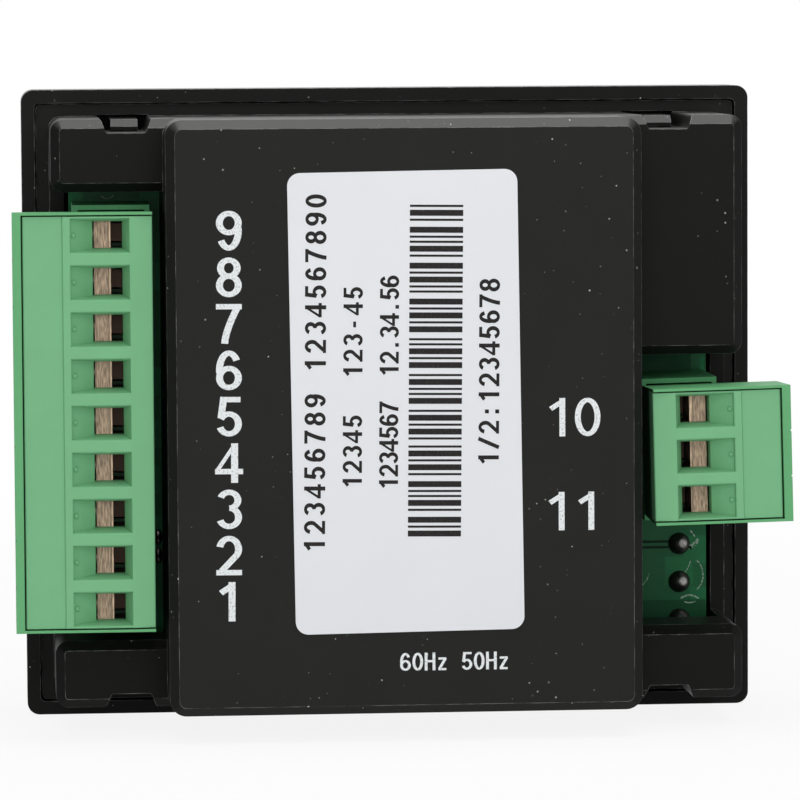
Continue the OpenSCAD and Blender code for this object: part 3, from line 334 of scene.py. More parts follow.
def put(name, surface, material, body, weld=0.0):
    """Makes a piece of a surface, rides it on a body and gives it its finish. Points closer than the weld
    distance, in millimetres, become one."""
    mesh = bpy.data.meshes.new(name)
    mesh.from_pydata(surface.points * MM, [], surface.faces)
    if weld:
        shell = bmesh.new()
        shell.from_mesh(mesh)
        bmesh.ops.remove_doubles(shell, verts=shell.verts, dist=weld * MM)
        bmesh.ops.recalc_face_normals(shell, faces=shell.faces)
        shell.to_mesh(mesh)
        shell.free()
    mesh.validate()
    mesh.materials.append(material)
    piece = bpy.data.objects.new(name, mesh)
    bpy.context.scene.collection.objects.link(piece)
    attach(piece, body)
    return piece


def dress(material, *names):
    """Gives CAD nodes their finish."""
    for name in names:
        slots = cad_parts[name].data.materials
        slots.clear()
        slots.append(material)


# Materials

AO, BEVEL, BUMP = "ShaderNodeAmbientOcclusion", "ShaderNodeBevel", "ShaderNodeBump"
GEOMETRY, SPLIT = "ShaderNodeNewGeometry", "ShaderNodeSeparateXYZ"
MAP, MATH, MIX = "ShaderNodeMapRange", "ShaderNodeMath", "ShaderNodeMix"
NOISE, VECTOR, VORONOI = "ShaderNodeTexNoise", "ShaderNodeVectorMath", "ShaderNodeTexVoronoi"


def wire(tree, node, inputs):
    """Sets inputs by name or number. Each takes a plain value, a socket to link, or a node whose first live
    output is linked. A map range counts its value, the range from and the range to as 0 to 4. A colour mix
    counts its share as 0 and its colours as 6 and 7."""
    for key, value in inputs.items():
        if isinstance(value, bpy.types.Node):
            value = next(socket for socket in value.outputs if socket.enabled)
        if isinstance(value, bpy.types.NodeSocket):
            tree.links.new(value, node.inputs[key])
        else:
            node.inputs[key].default_value = value


def add(tree, kind, inputs=None, **settings):
    """A node of a kind with its settings and inputs."""
    node = tree.nodes.new(kind)
    for name, value in settings.items():
        setattr(node, name, value)
    wire(tree, node, inputs or {})
    return node


def started(name, **values):
    """A new material, its node tree, its shader with plain values set, and the object's own coordinates."""
    material = bpy.data.materials.new(name)
    material.use_nodes = True
    tree = material.node_tree
    shader = tree.nodes["Principled BSDF"]
    wire(tree, shader, {key.replace("_", " "): value for key, value in values.items()})
    return material, tree, shader, add(tree, "ShaderNodeTexCoord").outputs["Object"]


def per_mm(millimetres):
    """The texture scale that gives a pattern that size."""
    return 1 / (millimetres * MM)


def shaded(tone, share=1.0):
    """A colour made lighter or darker by a share, as red, green, blue and alpha."""
    return tuple(min(1.0, c * share) for c in tone) + (1.0,)


def mottled(tree, place, tone, spread, patch):
    """A colour that drifts lighter and darker in patches of a size in millimetres."""
    drift = add(tree, NOISE, {"Vector": place, "Scale": per_mm(patch), "Detail": 4.0})
    ends = {0: drift, 6: shaded(tone, 1 - spread), 7: shaded(tone, 1 + spread)}
    return add(tree, MIX, ends, data_type="RGBA")


def grained(tree, place, grain, depth, smooth):
    """A fine grain of a size and depth in millimetres, and the normal it gives over a smooth one."""
    # Real grain is about 0.05 mm wide, too fine to show, so the sizes given are as coarse as it needs.
    grit = add(tree, NOISE, {"Vector": place, "Scale": per_mm(grain), "Detail": 3.0})
    bump = {"Height": grit, "Distance": depth * MM, "Strength": 1.0, "Normal": smooth}
    return grit, add(tree, BUMP, bump)


def moulded_plastic(name, tone, spread, patch, grain, depth, rough, edge=0.12, hole=0.0, **values):
    """Moulded thermoplastic: a tone that drifts by a spread in patches, with a grain and an uneven roughness.
    Edges are rounded by a radius, and painted shade darkens it in holes narrower than a width, all in
    millimetres."""
    material, tree, shader, place = started(name, IOR=1.5, **values)
    smooth = add(tree, BEVEL, {"Radius": edge * MM}, samples=6)
    grit, normal = grained(tree, place, grain, depth, smooth)
    shade = mottled(tree, place, tone, spread, patch)
    # Painted shade: the tone goes darker where ambient occlusion finds a hole, as if little light gets in.
    if hole:
        light = add(tree, AO, {"Distance": hole * MM}, samples=4).outputs["AO"]
        reached = add(tree, MAP, {0: light, 1: 0.05, 2: 0.4})
        shade = add(tree, MIX, {0: reached, 6: shaded(tone, 0.14), 7: shade}, data_type="RGBA")
    uneven = add(tree, MAP, {0: grit, 3: rough - 0.06, 4: rough + 0.06})
    wire(tree, shader, {"Base Color": shade, "Roughness": uneven, "Normal": normal})
    return material


def speckled(tree, place, tone):
    """A tone with scattered dust specks, most of them faint, and more of them in some patches."""
    # Real specks are about 0.1 mm wide, too fine to show, so they are drawn up to 0.26 mm wide.
    cells = add(tree, VORONOI, {"Vector": place, "Scale": per_mm(1), "Randomness": 1.0}).outputs
    patch = add(tree, NOISE, {"Vector": place, "Scale": per_mm(7), "Detail": 2.0})
    reach = add(tree, MAP, {0: patch, 1: 0.34, 2: 0.7, 4: 0.13})
    speck = add(tree, MATH, {0: cells["Distance"], 1: reach}, operation="LESS_THAN")
    chance = add(tree, SPLIT, {0: cells["Color"]})
    pale = add(tree, MATH, {0: chance, 1: 2.5}, operation="POWER")
    share = add(tree, MATH, {0: speck, 1: pale}, operation="MULTIPLY")
    return add(tree, MIX, {0: share, 6: tone, 7: shaded(linear("#bcbcb8"))}, data_type="RGBA")


def rubbed_and_highlit(tree, place, tone, smooth):
    """Lighter broken lines along the edges, where the smooth normal leans off the true:
    part wear, part painted highlight.
    """
    true = add(tree, GEOMETRY).outputs["True Normal"]
    lean = add(tree, VECTOR, {0: smooth, 1: true}, operation="DOT_PRODUCT")
    patch = add(tree, NOISE, {"Vector": place, "Scale": per_mm(1.6), "Detail": 3.0})
    edge = add(tree, MAP, {0: lean, 1: 0.99, 2: 0.92})
    broken = add(tree, MAP, {0: patch, 1: 0.4, 2: 0.66, 3: 0.1})
    line = add(tree, MATH, {0: edge, 1: broken}, operation="MULTIPLY")
    return add(tree, MIX, {0: line, 6: tone, 7: shaded(linear("#b4b2b0"))}, data_type="RGBA")


def black_abs(name, layers):
    """Black moulded ABS, with each layer of it from its own depth on. Its flanks are painted darker as shade,
    dust specks lie on it and its edges are painted lighter, part wear and part painted highlight. The top is
    polished by handling under a faint pale tint, part dust and part painted light from above, so that it
    looks pale along the surface."""
    material, tree, shader, place = started(name, IOR=1.5, Specular_IOR_Level=0.05, Coat_Roughness=0.3)
    axes = add(tree, SPLIT, {0: place}).outputs
    tone = mottled(tree, place, layers[0][0], 0.12, 9)
    for black, depth in layers[1:]:
        upper = add(tree, MAP, {0: axes["Y"], 1: depth * MM, 2: (depth + 1) * MM})
        layer = mottled(tree, place, black, 0.1, 6)
        tone = add(tree, MIX, {0: upper, 6: tone, 7: layer}, data_type="RGBA")
    smooth = add(tree, BEVEL, {"Radius": 0.1 * MM}, samples=6)
    grit, normal = grained(tree, place, 0.22, 0.012, smooth)
    facing = add(tree, SPLIT, {0: add(tree, GEOMETRY).outputs["Normal"]}).outputs
    # Painted shade: faces turned to the sides are darkened towards a fifth of the black.
    aside = add(tree, MATH, {0: facing["X"]}, operation="ABSOLUTE")
    painted_flank_shade = add(tree, MAP, {0: aside, 1: 0.3, 2: 0.6, 4: 0.6})
    tone = add(tree, MIX, {0: painted_flank_shade, 6: tone, 7: shaded(layers[0][0], 0.2)}, data_type="RGBA")
    # Up-facing faces near the top get a faint pale tint, part dust and part painted light from above, kept
    # off the lower faces, which lie in shade. The same mask sets the coat.
    top_from, top_full = 22 * MM, 28 * MM
    shelf = add(tree, MAP, {0: axes["Z"], 1: top_from, 2: top_full})
    upward = add(tree, MAP, {0: facing["Z"], 1: 0.35, 2: 0.7})
    film = add(tree, MATH, {0: shelf, 1: upward}, operation="MULTIPLY")
    dust_and_light_share, gloss = 0.09, 0.6
    thin = add(tree, MATH, {0: film, 1: dust_and_light_share}, operation="MULTIPLY")
    specks, dust = speckled(tree, place, tone), mottled(tree, place, linear("#6c6765"), 0.2, 1.2)
    dusted_and_lit = add(tree, MIX, {0: thin, 6: specks, 7: dust}, data_type="RGBA")
    rough = add(tree, MAP, {0: upper, 3: 0.36, 4: 0.5})
    grit_rough = add(tree, MAP, {0: grit, 3: -0.06, 4: 0.06})
    uneven = add(tree, MATH, {0: rough, 1: grit_rough}, operation="ADD")
    polish = add(tree, MATH, {0: film, 1: gloss}, operation="MULTIPLY")
    # Edges painted lighter, part wear and part painted highlight.
    worn = rubbed_and_highlit(tree, place, dusted_and_lit, smooth)
    wire(tree, shader, {"Base Color": worn, "Roughness": uneven, "Coat Weight": polish, "Normal": normal})
    return material


def metal(name, tone, rough, grain, depth, spread=0.12, edge=0.05):
    """Plated or rolled metal: a reflective tone with fine drawn marks that break the reflection."""
    material, tree, shader, place = started(name, Metallic=1.0)
    smooth = add(tree, BEVEL, {"Radius": edge * MM}, samples=6)
    grit, normal = grained(tree, place, grain, depth, smooth)
    shade = mottled(tree, place, tone, spread, 0.8)
    uneven = add(tree, MAP, {0: grit, 3: rough - 0.08, 4: rough + 0.12})
    wire(tree, shader, {"Base Color": shade, "Roughness": uneven, "Normal": normal})
    return material


def sheared_metal(name, tone, top, inner):
    """Sheared clamp metal: uneven upright tool marks, with a dark line of painted shade and a bright burr
    along its inner edge. Below its top face it is nearly black."""
    material, tree, shader, place = started(name, Metallic=0.4)
    size = (per_mm(0.16), per_mm(1.5), per_mm(1.1))
    drawn = add(tree, "ShaderNodeMapping", {"Vector": place, "Scale": size})
    marks = add(tree, NOISE, {"Vector": drawn, "Scale": 1.0, "Detail": 4.0})
    axes = add(tree, SPLIT, {0: place}).outputs
    aside = add(tree, MATH, {0: axes["X"]}, operation="ABSOLUTE")
    # Painted shade: a dark line beside the burr, where a cut would lie in shade.
    groove_shade = add(tree, MAP, {0: aside, 1: (inner + 0.28) * MM, 2: (inner + 0.4) * MM, 3: 0.5, 4: 0.0})
    burr = add(tree, MAP, {0: aside, 1: (inner + 0.12) * MM, 2: (inner + 0.2) * MM, 3: 1.0, 4: 0.0})
    nicked = add(tree, MAP, {0: marks, 1: 0.35, 2: 0.6, 3: 0.3})
    bright = add(tree, MATH, {0: burr, 1: nicked}, operation="MULTIPLY")
    streak = add(tree, MAP, {0: marks, 1: 0.34, 2: 0.66})
    face = add(tree, MIX, {0: streak, 6: shaded(tone, 0.5), 7: shaded(tone, 1.4)}, data_type="RGBA")
    face = add(tree, MIX, {0: groove_shade, 6: face, 7: shaded(tone, 0.25)}, data_type="RGBA")
    face = add(tree, MIX, {0: bright, 6: face, 7: shaded(tone, 1.9)}, data_type="RGBA")
    # Below its top face the metal is drawn nearly black.
    above = add(tree, MAP, {0: axes["Y"], 1: (top - 0.5) * MM, 2: (top - 0.1) * MM})
    shade = add(tree, MIX, {0: above, 6: shaded(tone, 0.06), 7: face}, data_type="RGBA")
    rough = add(tree, MAP, {0: marks, 3: 0.65, 4: 0.5})
    bump = add(tree, BUMP, {"Height": marks, "Distance": 0.03 * MM, "Strength": 0.6})
    wire(tree, shader, {"Base Color": shade, "Roughness": rough, "Normal": bump})
    return material


def fluxed_solder(name, lit_from, highlight_sides, rough=0.3, bright=False):
    """Hand-soldered joints: dark flux residue round the foot, and a painted highlight on the sides given,
    which face the light, only above a height; below it the joints stay in painted shadow. With bright, the
    highlight is bare metal."""
    material, tree, shader, place = started(name, IOR=1.5, Specular_IOR_Level=0.3)
    facing = add(tree, GEOMETRY).outputs["Normal"]
    leans = [add(tree, VECTOR, {0: facing, 1: side}, operation="DOT_PRODUCT") for side in highlight_sides]
    lean = leans[0]
    for other in leans[1:]:
        lean = add(tree, MATH, {0: lean, 1: other}, operation="MAXIMUM")
    up = add(tree, SPLIT, {0: place}).outputs["Z"]
    lumps = add(tree, NOISE, {"Vector": place, "Scale": per_mm(0.4), "Detail": 2.0})
    # Painted shadow below a height, and a painted highlight on the sides that face the light.
    lit = add(tree, MAP, {0: up, 1: lit_from * MM, 2: (lit_from + 0.5) * MM})
    turned = add(tree, MAP, {0: lean, 1: 0.9, 2: 0.99})
    lumpy = add(tree, MAP, {0: lumps, 1: 0.3, 2: 0.6, 3: 0.4})
    crown_highlight = add(tree, MATH, {0: turned, 1: lumpy}, operation="MULTIPLY")
    crown_highlight = add(tree, MATH, {0: crown_highlight, 1: lit}, operation="MULTIPLY")
    flux = mottled(tree, place, linear("#161715"), 0.3, 0.5)
    shade = add(tree, MIX, {0: crown_highlight, 6: flux, 7: shaded(linear("#dcd6d4"))}, data_type="RGBA")
    uneven = add(tree, MAP, {0: lumps, 3: rough, 4: rough + 0.2})
    wire(tree, shader, {"Base Color": shade, "Roughness": uneven})
    if bright:
        wire(tree, shader, {"Metallic": crown_highlight})
    return material


def screen_ink(name, tone, under, start=0.3, end=0.46):
    """Screen-printed ink: a slightly satin colour that lets what is under it show in the pinholes."""
    # Real pinholes are about 0.1 mm wide, too fine to show, so they are drawn twice as wide.
    material, tree, shader, place = started(name, IOR=1.5, Specular_IOR_Level=0.2)
    holes = add(tree, NOISE, {"Vector": place, "Scale": per_mm(0.22), "Detail": 2.0})
    cover = add(tree, MAP, {0: holes, 1: start, 2: end})
    shade = add(tree, MIX, {0: cover, 6: shaded(under), 7: shaded(tone)}, data_type="RGBA")
    rough = add(tree, MAP, {0: holes, 3: 0.45, 4: 0.65})
    wire(tree, shader, {"Base Color": shade, "Roughness": rough})
    return material


def solder_mask(name, tone):
    """Glass-fibre laminate under glossy green solder mask: copper areas show through as paler green."""
    material, tree, shader, place = started(name, IOR=1.5, Specular_IOR_Level=0.1)
    pour = add(tree, VORONOI, {"Vector": place, "Scale": per_mm(4.2)}, distance="CHEBYCHEV")
    bare = add(tree, MAP, {0: pour, 1: 0.36, 2: 0.4})
    plain = mottled(tree, place, tone, 0.12, 1.5)
    copper = mottled(tree, place, shaded(tone, 1.35)[:3], 0.12, 1.5)
    shade = add(tree, MIX, {0: bare, 6: copper, 7: plain}, data_type="RGBA")
    smooth = add(tree, BEVEL, {"Radius": 0.05 * MM}, samples=6)
    grit, normal = grained(tree, place, 0.35, 0.004, smooth)
    rough = add(tree, MAP, {0: grit, 3: 0.25, 4: 0.4})
    wire(tree, shader, {"Base Color": shade, "Roughness": rough, "Normal": normal})
    return material


def clear_epoxy(name, tone):
    """Tinted lamp epoxy: deep colour that light passes into, with a polished dome."""
    material, tree, shader, place = started(
        name, IOR=1.54, Transmission_Weight=0.55, Coat_Weight=0.3, Coat_Roughness=0.05
    )
    swirl = add(tree, NOISE, {"Vector": place, "Scale": per_mm(1.2)})
    rough = add(tree, MAP, {0: swirl, 3: 0.08, 4: 0.2})
    wire(tree, shader, {"Base Color": mottled(tree, place, tone, 0.1, 0.9), "Roughness": rough})
    return material


class Dressing:
    """What every dressing operator shares."""

    bl_options = {"REGISTER", "UNDO"}


class CONTROLLER_OT_mouldings(Dressing, bpy.types.Operator):
    """Finish the bezel and the rear case"""

    bl_idname = "controller.mouldings"
    bl_label = "Black mouldings"

    def execute(self, context):
        look = context.scene.controller_finish
        low, wing_top, rim = box_mm("rear_case")[0][1], 18.5, 0.2
        case = [(look.flange, low), (look.wing, rim), (look.raised, wing_top)]
        dress(black_abs("black_abs_grained", case), "rear_case")
        dress(black_abs("black_abs_moulded", [(look.bezel, low), (look.wing, rim)]), "front_bezel")
        return {"FINISHED"}


class CONTROLLER_OT_plugs(Dressing, bpy.types.Operator):
    """Finish the plugs, their wire covers and the headers"""

    bl_idname = "controller.plugs"
    bl_label = "Green terminal blocks"

    def execute(self, context):
        look = context.scene.controller_finish
        satin = {"Specular_IOR_Level": 0.25}
        # The plug bodies get painted shade in their holes, up to 5 mm wide.
        body = moulded_plastic("green_polyamide_plug", look.plug, 0.05, 5, 0.16, 0.01, 0.5, hole=5, **satin)
        dress(body, "main_plug_body", "gen_plug_body")
        cover = moulded_plastic("green_polyamide_cover", look.cover, 0.05, 4, 0.16, 0.012, 0.55, **satin)
        dress(cover, "main_plug_cover", "gen_plug_cover")
        header = moulded_plastic("green_polyamide_header", look.header, 0.05, 5, 0.16, 0.01, 0.5, **satin)
        dress(header, "main_header", "gen_header")
        return {"FINISHED"}


class CONTROLLER_OT_clamps(Dressing, bpy.types.Operator):
    """Finish the terminal screws, the clamp cages, the contacts and the pins"""

    bl_idname = "controller.clamps"
    bl_label = "Screws, cages and pins"

    def execute(self, context):
        steel = metal("zinc_plated_screw_steel", linear("#a89a86"), 0.34, 0.12, 0.004)
        dress(steel, "main_plug_screws", "gen_plug_screws")
        high = box_mm("main_cage_1")[1]
        thick_side = 1.8
        bronze = sheared_metal("sheared_clamp_bronze", linear("#bda18c"), high[1], high[0] - thick_side)
        dress(bronze, *[f"main_cage_{i}" for i in range(1, 10)], *[f"gen_cage_{i}" for i in range(1, 4)])
        dark = metal("oxidised_contact_bronze", linear("#6b594e"), 0.55, 0.15, 0.004)
        dress(dark, "main_plug_contacts", "gen_plug_contacts")
        tin = metal("tinned_brass", linear("#c9c4b6"), 0.3, 0.1, 0.003)
        dress(tin, "main_header_pins", "gen_header_pins")
        return {"FINISHED"}


class CONTROLLER_OT_numbers(Dressing, bpy.types.Operator):
    """Print the terminal numbers and the two frequencies on the raised middle"""

    bl_idname = "controller.numbers"
    bl_label = "Terminal numbers"

    def execute(self, context):
        marks = context.scene.controller_print
        ink = screen_ink("white_screen_ink", context.scene.controller_finish.ink, linear("#adb1b2"))
        rear = box_mm("rear_case")[1][1]
        plane, leaning = rear_plane(rear), rear_plane(rear, marks.digit_lean)
        tall, thick = marks.digit_h / MM, marks.ink_t / MM
        column = -marks.digit_x / MM
        heights = (marks.digit_top - np.arange(9) * marks.digit_step) / MM
        wide, line = 0.65 * tall, 0.175 * tall
        parts = [
            lettering(leaning, str(9 - i), column, z, tall, wide, line, 0, thick)
            for i, z in enumerate(heights)
        ]
        pairs = [("1", 16.71, -0.15), ("0", 19.81, -0.15), ("1", 16.6, -10.42), ("1", 19.85, -10.42)]
        tall, wide, line = 4.2, 2.8, 0.64
        parts += [lettering(plane, text, x, z, tall, wide, line, 0, thick) for text, x, z in pairs]
        tall, wide, line, step = 1.95, 1.17, 0.31, 1.345
        parts.append(lettering(plane, "60Hz 50Hz", 5.12, -26.7, tall, wide, line, step, thick))
        put("terminal_numbers", joined(parts), ink, "housing", weld=0.0005)
        return {"FINISHED"}


class CONTROLLER_OT_label(Dressing, bpy.types.Operator):
    """Finish the label film and print plain numbers and bars on it"""

    bl_idname = "controller.label"
    bl_label = "Label"

    def execute(self, context):
        look, marks = context.scene.controller_finish, context.scene.controller_print
        film = moulded_plastic("white_polyester_label", look.label, 0.02, 6, 0.3, 0.003, 0.35, edge=0.03)
        dress(film, "rating_label")
        black = screen_ink("black_thermal_print", linear("#141110"), linear("#2b2827"))
        low, high = box_mm("rating_label")
        middle = (low[2] + high[2]) / 2
        plane = rear_plane(high[1], marks.label_lean, middle)
        upright = rear_plane(high[1], marks.label_lean + math.pi / 2, middle)
        thick = marks.ink_t / MM
        rows = [
            ("123456789 1234567890", -9.93, 3.1, 2.3, 1.97),
            ("12345", -5.85, -5.4, 2.1, 1.65),
            ("123-45", -5.85, 7.6, 2.1, 1.7),
            ("1234567", -1.9, -4.7, 2.07, 1.38),
            ("12.34.56", -1.9, 8.3, 2.07, 1.38),
            ("1/2:12345678", 9.0, 3.3, 2.25, 1.72),
        ]
        parts = [
            lettering(upright, text, z, -x, tall, 0.62 * tall, 0.19 * tall, step, thick)
            for text, x, z, tall, step in rows
        ]
        n = np.arange(marks.bars)
        widths = np.where(n * 5 % 7 % 3 == 0, 0.62, 0.23)
        gaps = np.where(n * 3 % 5 == 1, 0.62, 0.3)
        starts = np.concatenate([[0], np.cumsum(widths + gaps)[:-1]])
        total, mid_x, mid_z, tall = 36.1, 3.15, 3.4, 5.8
        stretch = total / (starts[-1] + widths[-1])
        middles = (starts + widths / 2) * stretch - total / 2 + mid_z
        bars = [bar(mid_x, z, tall, w * stretch) for z, w in zip(middles, widths)]
        parts += [prism(plane, outline, 0, thick) for outline in bars]
        put("label_print", joined(parts), black, "housing", weld=0.0005)
        return {"FINISHED"}


class CONTROLLER_OT_board(Dressing, bpy.types.Operator):
    """Finish the board, its solder and screws, and add the tracks, print, painted shadows and light, and
    joints beside the plugs
    """

    bl_idname = "controller.board"
    bl_label = "Circuit board"

    def execute(self, context):
        look, marks = context.scene.controller_finish, context.scene.controller_print
        dress(solder_mask("green_solder_mask", look.mask), "main_board")
        # The joints get a painted highlight on the side facing the light, and painted shadow below -24.2 mm,
        # where the wing shades them.
        dress(fluxed_solder("fluxed_tin_solder", -24.2, [(-0.3, 0.95, 0.1)]), "solder_joints")
        dress(metal("zinc_plated_steel", linear("#b9b7b0"), 0.3, 0.15, 0.004), "board_screws")
        plane = rear_plane(box_mm("main_board")[1][1])
        thick = marks.ink_t / MM
        worn = [
            (arc(33.0, -16.65, 1.95, 22, 52), 0.16),
            ([(34.2, -17.2), (34.75, -16.75), (35.25, -16.2)], 0.42),
            ([(34.1, -16.7), (34.15, -17), (34.4, -17.3)], 0.3),
            (arc(33.4, -20.3, 2.35, 48, -46), 0.14),
            (arc(34.2, -24.2, 1.6, 130, 50), 0.2),
            (arc(34.2, -21.85, 1.6, 246, 294), 0.13),
            ([(28.8, -21.35), (29.3, -20.75), (29.6, -19.95)], 0.1),
            ([(33.65, -20.05), (34.1, -19.3), (34.35, -18.6)], 0.1),
            (arc(-31.75, 24.1, 0.85, 215, 325), 0.12),
        ]
        marks_left = [ribbon(plane, path, line, 0, thick) for path, line in worn]
        silk = screen_ink("white_board_print", linear("#a9c2b2"), look.mask, 0.4, 0.58)
        put("board_print", joined(marks_left), silk, "housing", weld=0.0005)
        tracks = [ribbon(plane, [(26.4, z), (28.5, z), (31.8, z)], 0.3, 0, thick) for z in (-16.4, -17.05)]
        glossy = {"patch": 1.5, "grain": 0.3, "depth": 0.003, "rough": 0.4, "edge": 0.02}
        glossy["Specular_IOR_Level"] = 0.06
        bare = moulded_plastic("dark_board_gap", linear("#0a2a1a"), 0.08, **glossy)
        put("board_tracks", joined(tracks), bare, "housing", weld=0.0005)
        # Painted light: a pale strip where light reaches the board through the open side of the upper slot.
        pour = moulded_plastic("painted_lit_board_strip", linear("#2a774c"), 0.08, **glossy)
        put("board_lit_strip", prism(plane, bar(35.65, 3.8, 0.5, 1.9), 0, thick), pour, "housing", weld=0.0005)
        # Painted shadow: dark patches on the board where the wings shade it, at its lower end and in the
        # upper slot.
        board_shadow = moulded_plastic("painted_board_shadow", linear("#1f5135"), 0.1, **glossy)
        shadow_bands = [bar(31.05, -26, 10, 5.8), bar(30.2, 4, 8.4, 3)]
        shadow_bands = [prism(plane, outline, 0, thick / 2) for outline in shadow_bands]
        put("board_shadow_bands", joined(shadow_bands), board_shadow, "housing", weld=0.0005)
        wide, tall, height = 1.0, 1.8, 0.5
        leads = [mound(plane, -26.37, z, wide, tall, height) for z in (-15.08, -17.2)]
        # Painted highlights on the tops and bottoms of the lead joints, at every height.
        ends = [(0, 0.85, 0.53), (0, 0.85, -0.53)]
        below_board = -30
        two_sided = fluxed_solder("fluxed_lead_solder", below_board, ends, rough=0.05, bright=True)
        put("lead_joints", joined(leads), two_sided, "housing", weld=0.0005).data.shade_smooth()
        return {"FINISHED"}


class CONTROLLER_OT_inner(Dressing, bpy.types.Operator):
    """Finish the parts inside the case"""

    bl_idname = "controller.inner"
    bl_label = "Inner parts"

    def execute(self, context):
        relay = moulded_plastic("blue_relay_polyester", linear("#2d4f86"), 0.05, 4, 0.2, 0.006, 0.38)
        dress(relay, "fuel_relay", "crank_relay")
        lacquer = moulded_plastic("tan_resistor_lacquer", linear("#c9b08a"), 0.08, 1.5, 0.3, 0.01, 0.35)
        dress(lacquer, *[f"sense_resistor_{i}" for i in range(1, 5)])
        finishes = {
            "processor": ("black_epoxy_package", "#232325", 0.1, 3, 0.12, 0.01, 0.6),
            "voltage_regulator": ("black_epoxy_regulator", "#333335", 0.1, 3, 0.12, 0.01, 0.55),
            "supply_capacitor": ("navy_shrink_sleeve", "#2b3350", 0.06, 5, 0.4, 0.004, 0.28),
            "surge_varistor": ("blue_dipped_epoxy", "#2f5ea8", 0.08, 2, 0.6, 0.02, 0.3),
            "link_header": ("black_link_housing", "#222224", 0.08, 3, 0.15, 0.006, 0.45),
            "link_cap": ("blue_link_cap", "#2a5db0", 0.06, 3, 0.15, 0.006, 0.45),
            "lamp_holder": ("white_lamp_holder", "#d8d8d2", 0.04, 4, 0.2, 0.008, 0.5),
        }
        for node, (name, code, *surface) in finishes.items():
            dress(moulded_plastic(name, linear(code), *surface), node)
        return {"FINISHED"}


def drop(x, z, size, count=40):
    """Outline of a drop: a circle whose upper half is drawn up to a point by the square of its height."""
    a = np.linspace(0, 2 * np.pi, count, endpoint=False)
    across, up = np.sin(a), -np.cos(a)
    pull = np.clip(up, 0, 1) ** 2
    return np.stack([x + size * across * (1 - pull), z + size * (up + 0.55 * pull)], -1)


class CONTROLLER_OT_fascia(Dressing, bpy.types.Operator):
    """Finish the front overlay and its lamps, and print rings, signs and selector marks on it"""

    bl_idname = "controller.fascia"
    bl_label = "Front overlay"

    def execute(self, context):
        look, marks = context.scene.controller_finish, context.scene.controller_print
        film = moulded_plastic("textured_polycarbonate_film", look.film, 0.05, 7, 0.3, 0.01, 0.48)
        dress(film, "fascia_overlay")
        tones = {"red": linear("#c3201c"), "amber": linear("#e08a1a"), "green": linear("#2fae43")}
        lamp_tones = ["red", "red", "red", "red", "amber", "green"]
        low, high = box_mm("fascia_overlay")
        plane = front_plane(low[1])
        thick = marks.ink_t / MM
        for tone, value in tones.items():
            epoxy = clear_epoxy(f"{tone}_lamp_epoxy", value)
            numbers = [i for i, t in enumerate(lamp_tones, 1) if t == tone]
            dress(epoxy, *[f"lamp_{i}" for i in numbers])
            places = [sum(box_mm(f"lamp_{i}")) / 2 for i in numbers]
            windows = [prism(plane, ring(p[0], p[2], 1.7), 0, thick) for p in places]
            tint = screen_ink(f"{tone}_window_ink", value, shaded(value, 0.8)[:3])
            put(f"{tone}_lamp_windows", joined(windows), tint, "housing")
        parts = []
        for i in range(1, 7):
            x, _, z = sum(box_mm(f"lamp_{i}")) / 2
            parts.append(ribbon(plane, ring(x, z, 2.25), 0.25, 0, thick, closed=True))
            parts += self.sign(plane, i, x, z - 5.2, thick)
        knob = sum(box_mm("selector_shaft")) / 2
        parts.append(ribbon(plane, arc(knob[0], knob[2], 11.6, 55, 125), 0.3, 0, thick))
        for text, turn in (("0", 135), ("1", 45)):
            x, z = arc(knob[0], knob[2], 13, turn, turn, 1)[0]
            parts.append(lettering(plane, text, x, z, 2.6, 1.6, 0.4, 0, thick))
        border = rounded(high[0] - low[0] - 3, high[2] - low[2] - 3, 1.5)
        parts.append(ribbon(plane, border, 0.3, 0, thick, closed=True))
        white = screen_ink("white_fascia_ink", look.ink, linear("#b9bcbd"))
        put("fascia_print", joined(parts), white, "housing", weld=0.001)
        return {"FINISHED"}

    def sign(self, plane, number, x, z, thick):
        """A plain line sign about 4 mm tall below a lamp."""
        line = 0.3

        def band(path, closed=False):
            return ribbon(plane, path, line, 0, thick, closed)

        if number == 1:
            return [band(drop(x, z, 1.3), True)]
        if number == 2:
            stem = [(x - 0.5, z - 0.4), (x - 0.5, z + 1.9), (x + 0.5, z + 1.9), (x + 0.5, z - 0.4)]
            return [band(stem), prism(plane, ring(x, z - 1.1, 0.95), 0, thick)]
        if number == 3:
            cells = [prism(plane, bar(x + d, z + 1.5, 0.8, 0.6), 0, thick) for d in (-1.1, 1.1)]
            return [band(rounded(4.4, 2.6, 0.3) + [x, z], True), *cells]
        if number == 4:
            return [band(arc(x, z - 0.8, 2, 10, 170)), band([(x, z - 0.8), (x + 0.5, z), (x + 1, z + 0.8)])]
        if number == 5:
            return [band(arc(x, z, 1.6, 125, 415)), prism(plane, bar(x, z + 1.1, 0.3, 1.9), 0, thick)]
        return [prism(plane, np.array([[x - 1.1, z - 1.5], [x + 1.6, z], [x - 1.1, z + 1.5]]), 0, thick)]


class CONTROLLER_OT_selector(Dressing, bpy.types.Operator):
    """Finish the selector switch, its fixings and its knob"""

    bl_idname = "controller.selector"
    bl_label = "Selector"

    def execute(self, context):
        switch = moulded_plastic("black_switch_phenolic", linear("#3a3a3c"), 0.08, 4, 0.2, 0.008, 0.5)
        dress(switch, "selector_switch")
        knob = moulded_plastic("black_knob_phenolic", linear("#1b1b1d"), 0.08, 4, 0.25, 0.01, 0.4)
        dress(knob, "selector_knob")
        inlay = moulded_plastic("white_pointer_inlay", linear("#e8e8e4"), 0.03, 2, 0.2, 0.004, 0.4)
        dress(inlay, "knob_pointer")
        nickel = metal("nickel_plated_brass_bush", linear("#c4c1b8"), 0.26, 0.2, 0.004)
        dress(nickel, "selector_bush", "selector_nut")
        steel = metal("turned_steel", linear("#b5b3ad"), 0.3, 0.12, 0.004)
        dress(steel, "selector_shaft", "selector_washer")
        dress(metal("tinned_lug_brass", linear("#c9c4b6"), 0.28, 0.1, 0.003), "switch_terminals")
        return {"FINISHED"}


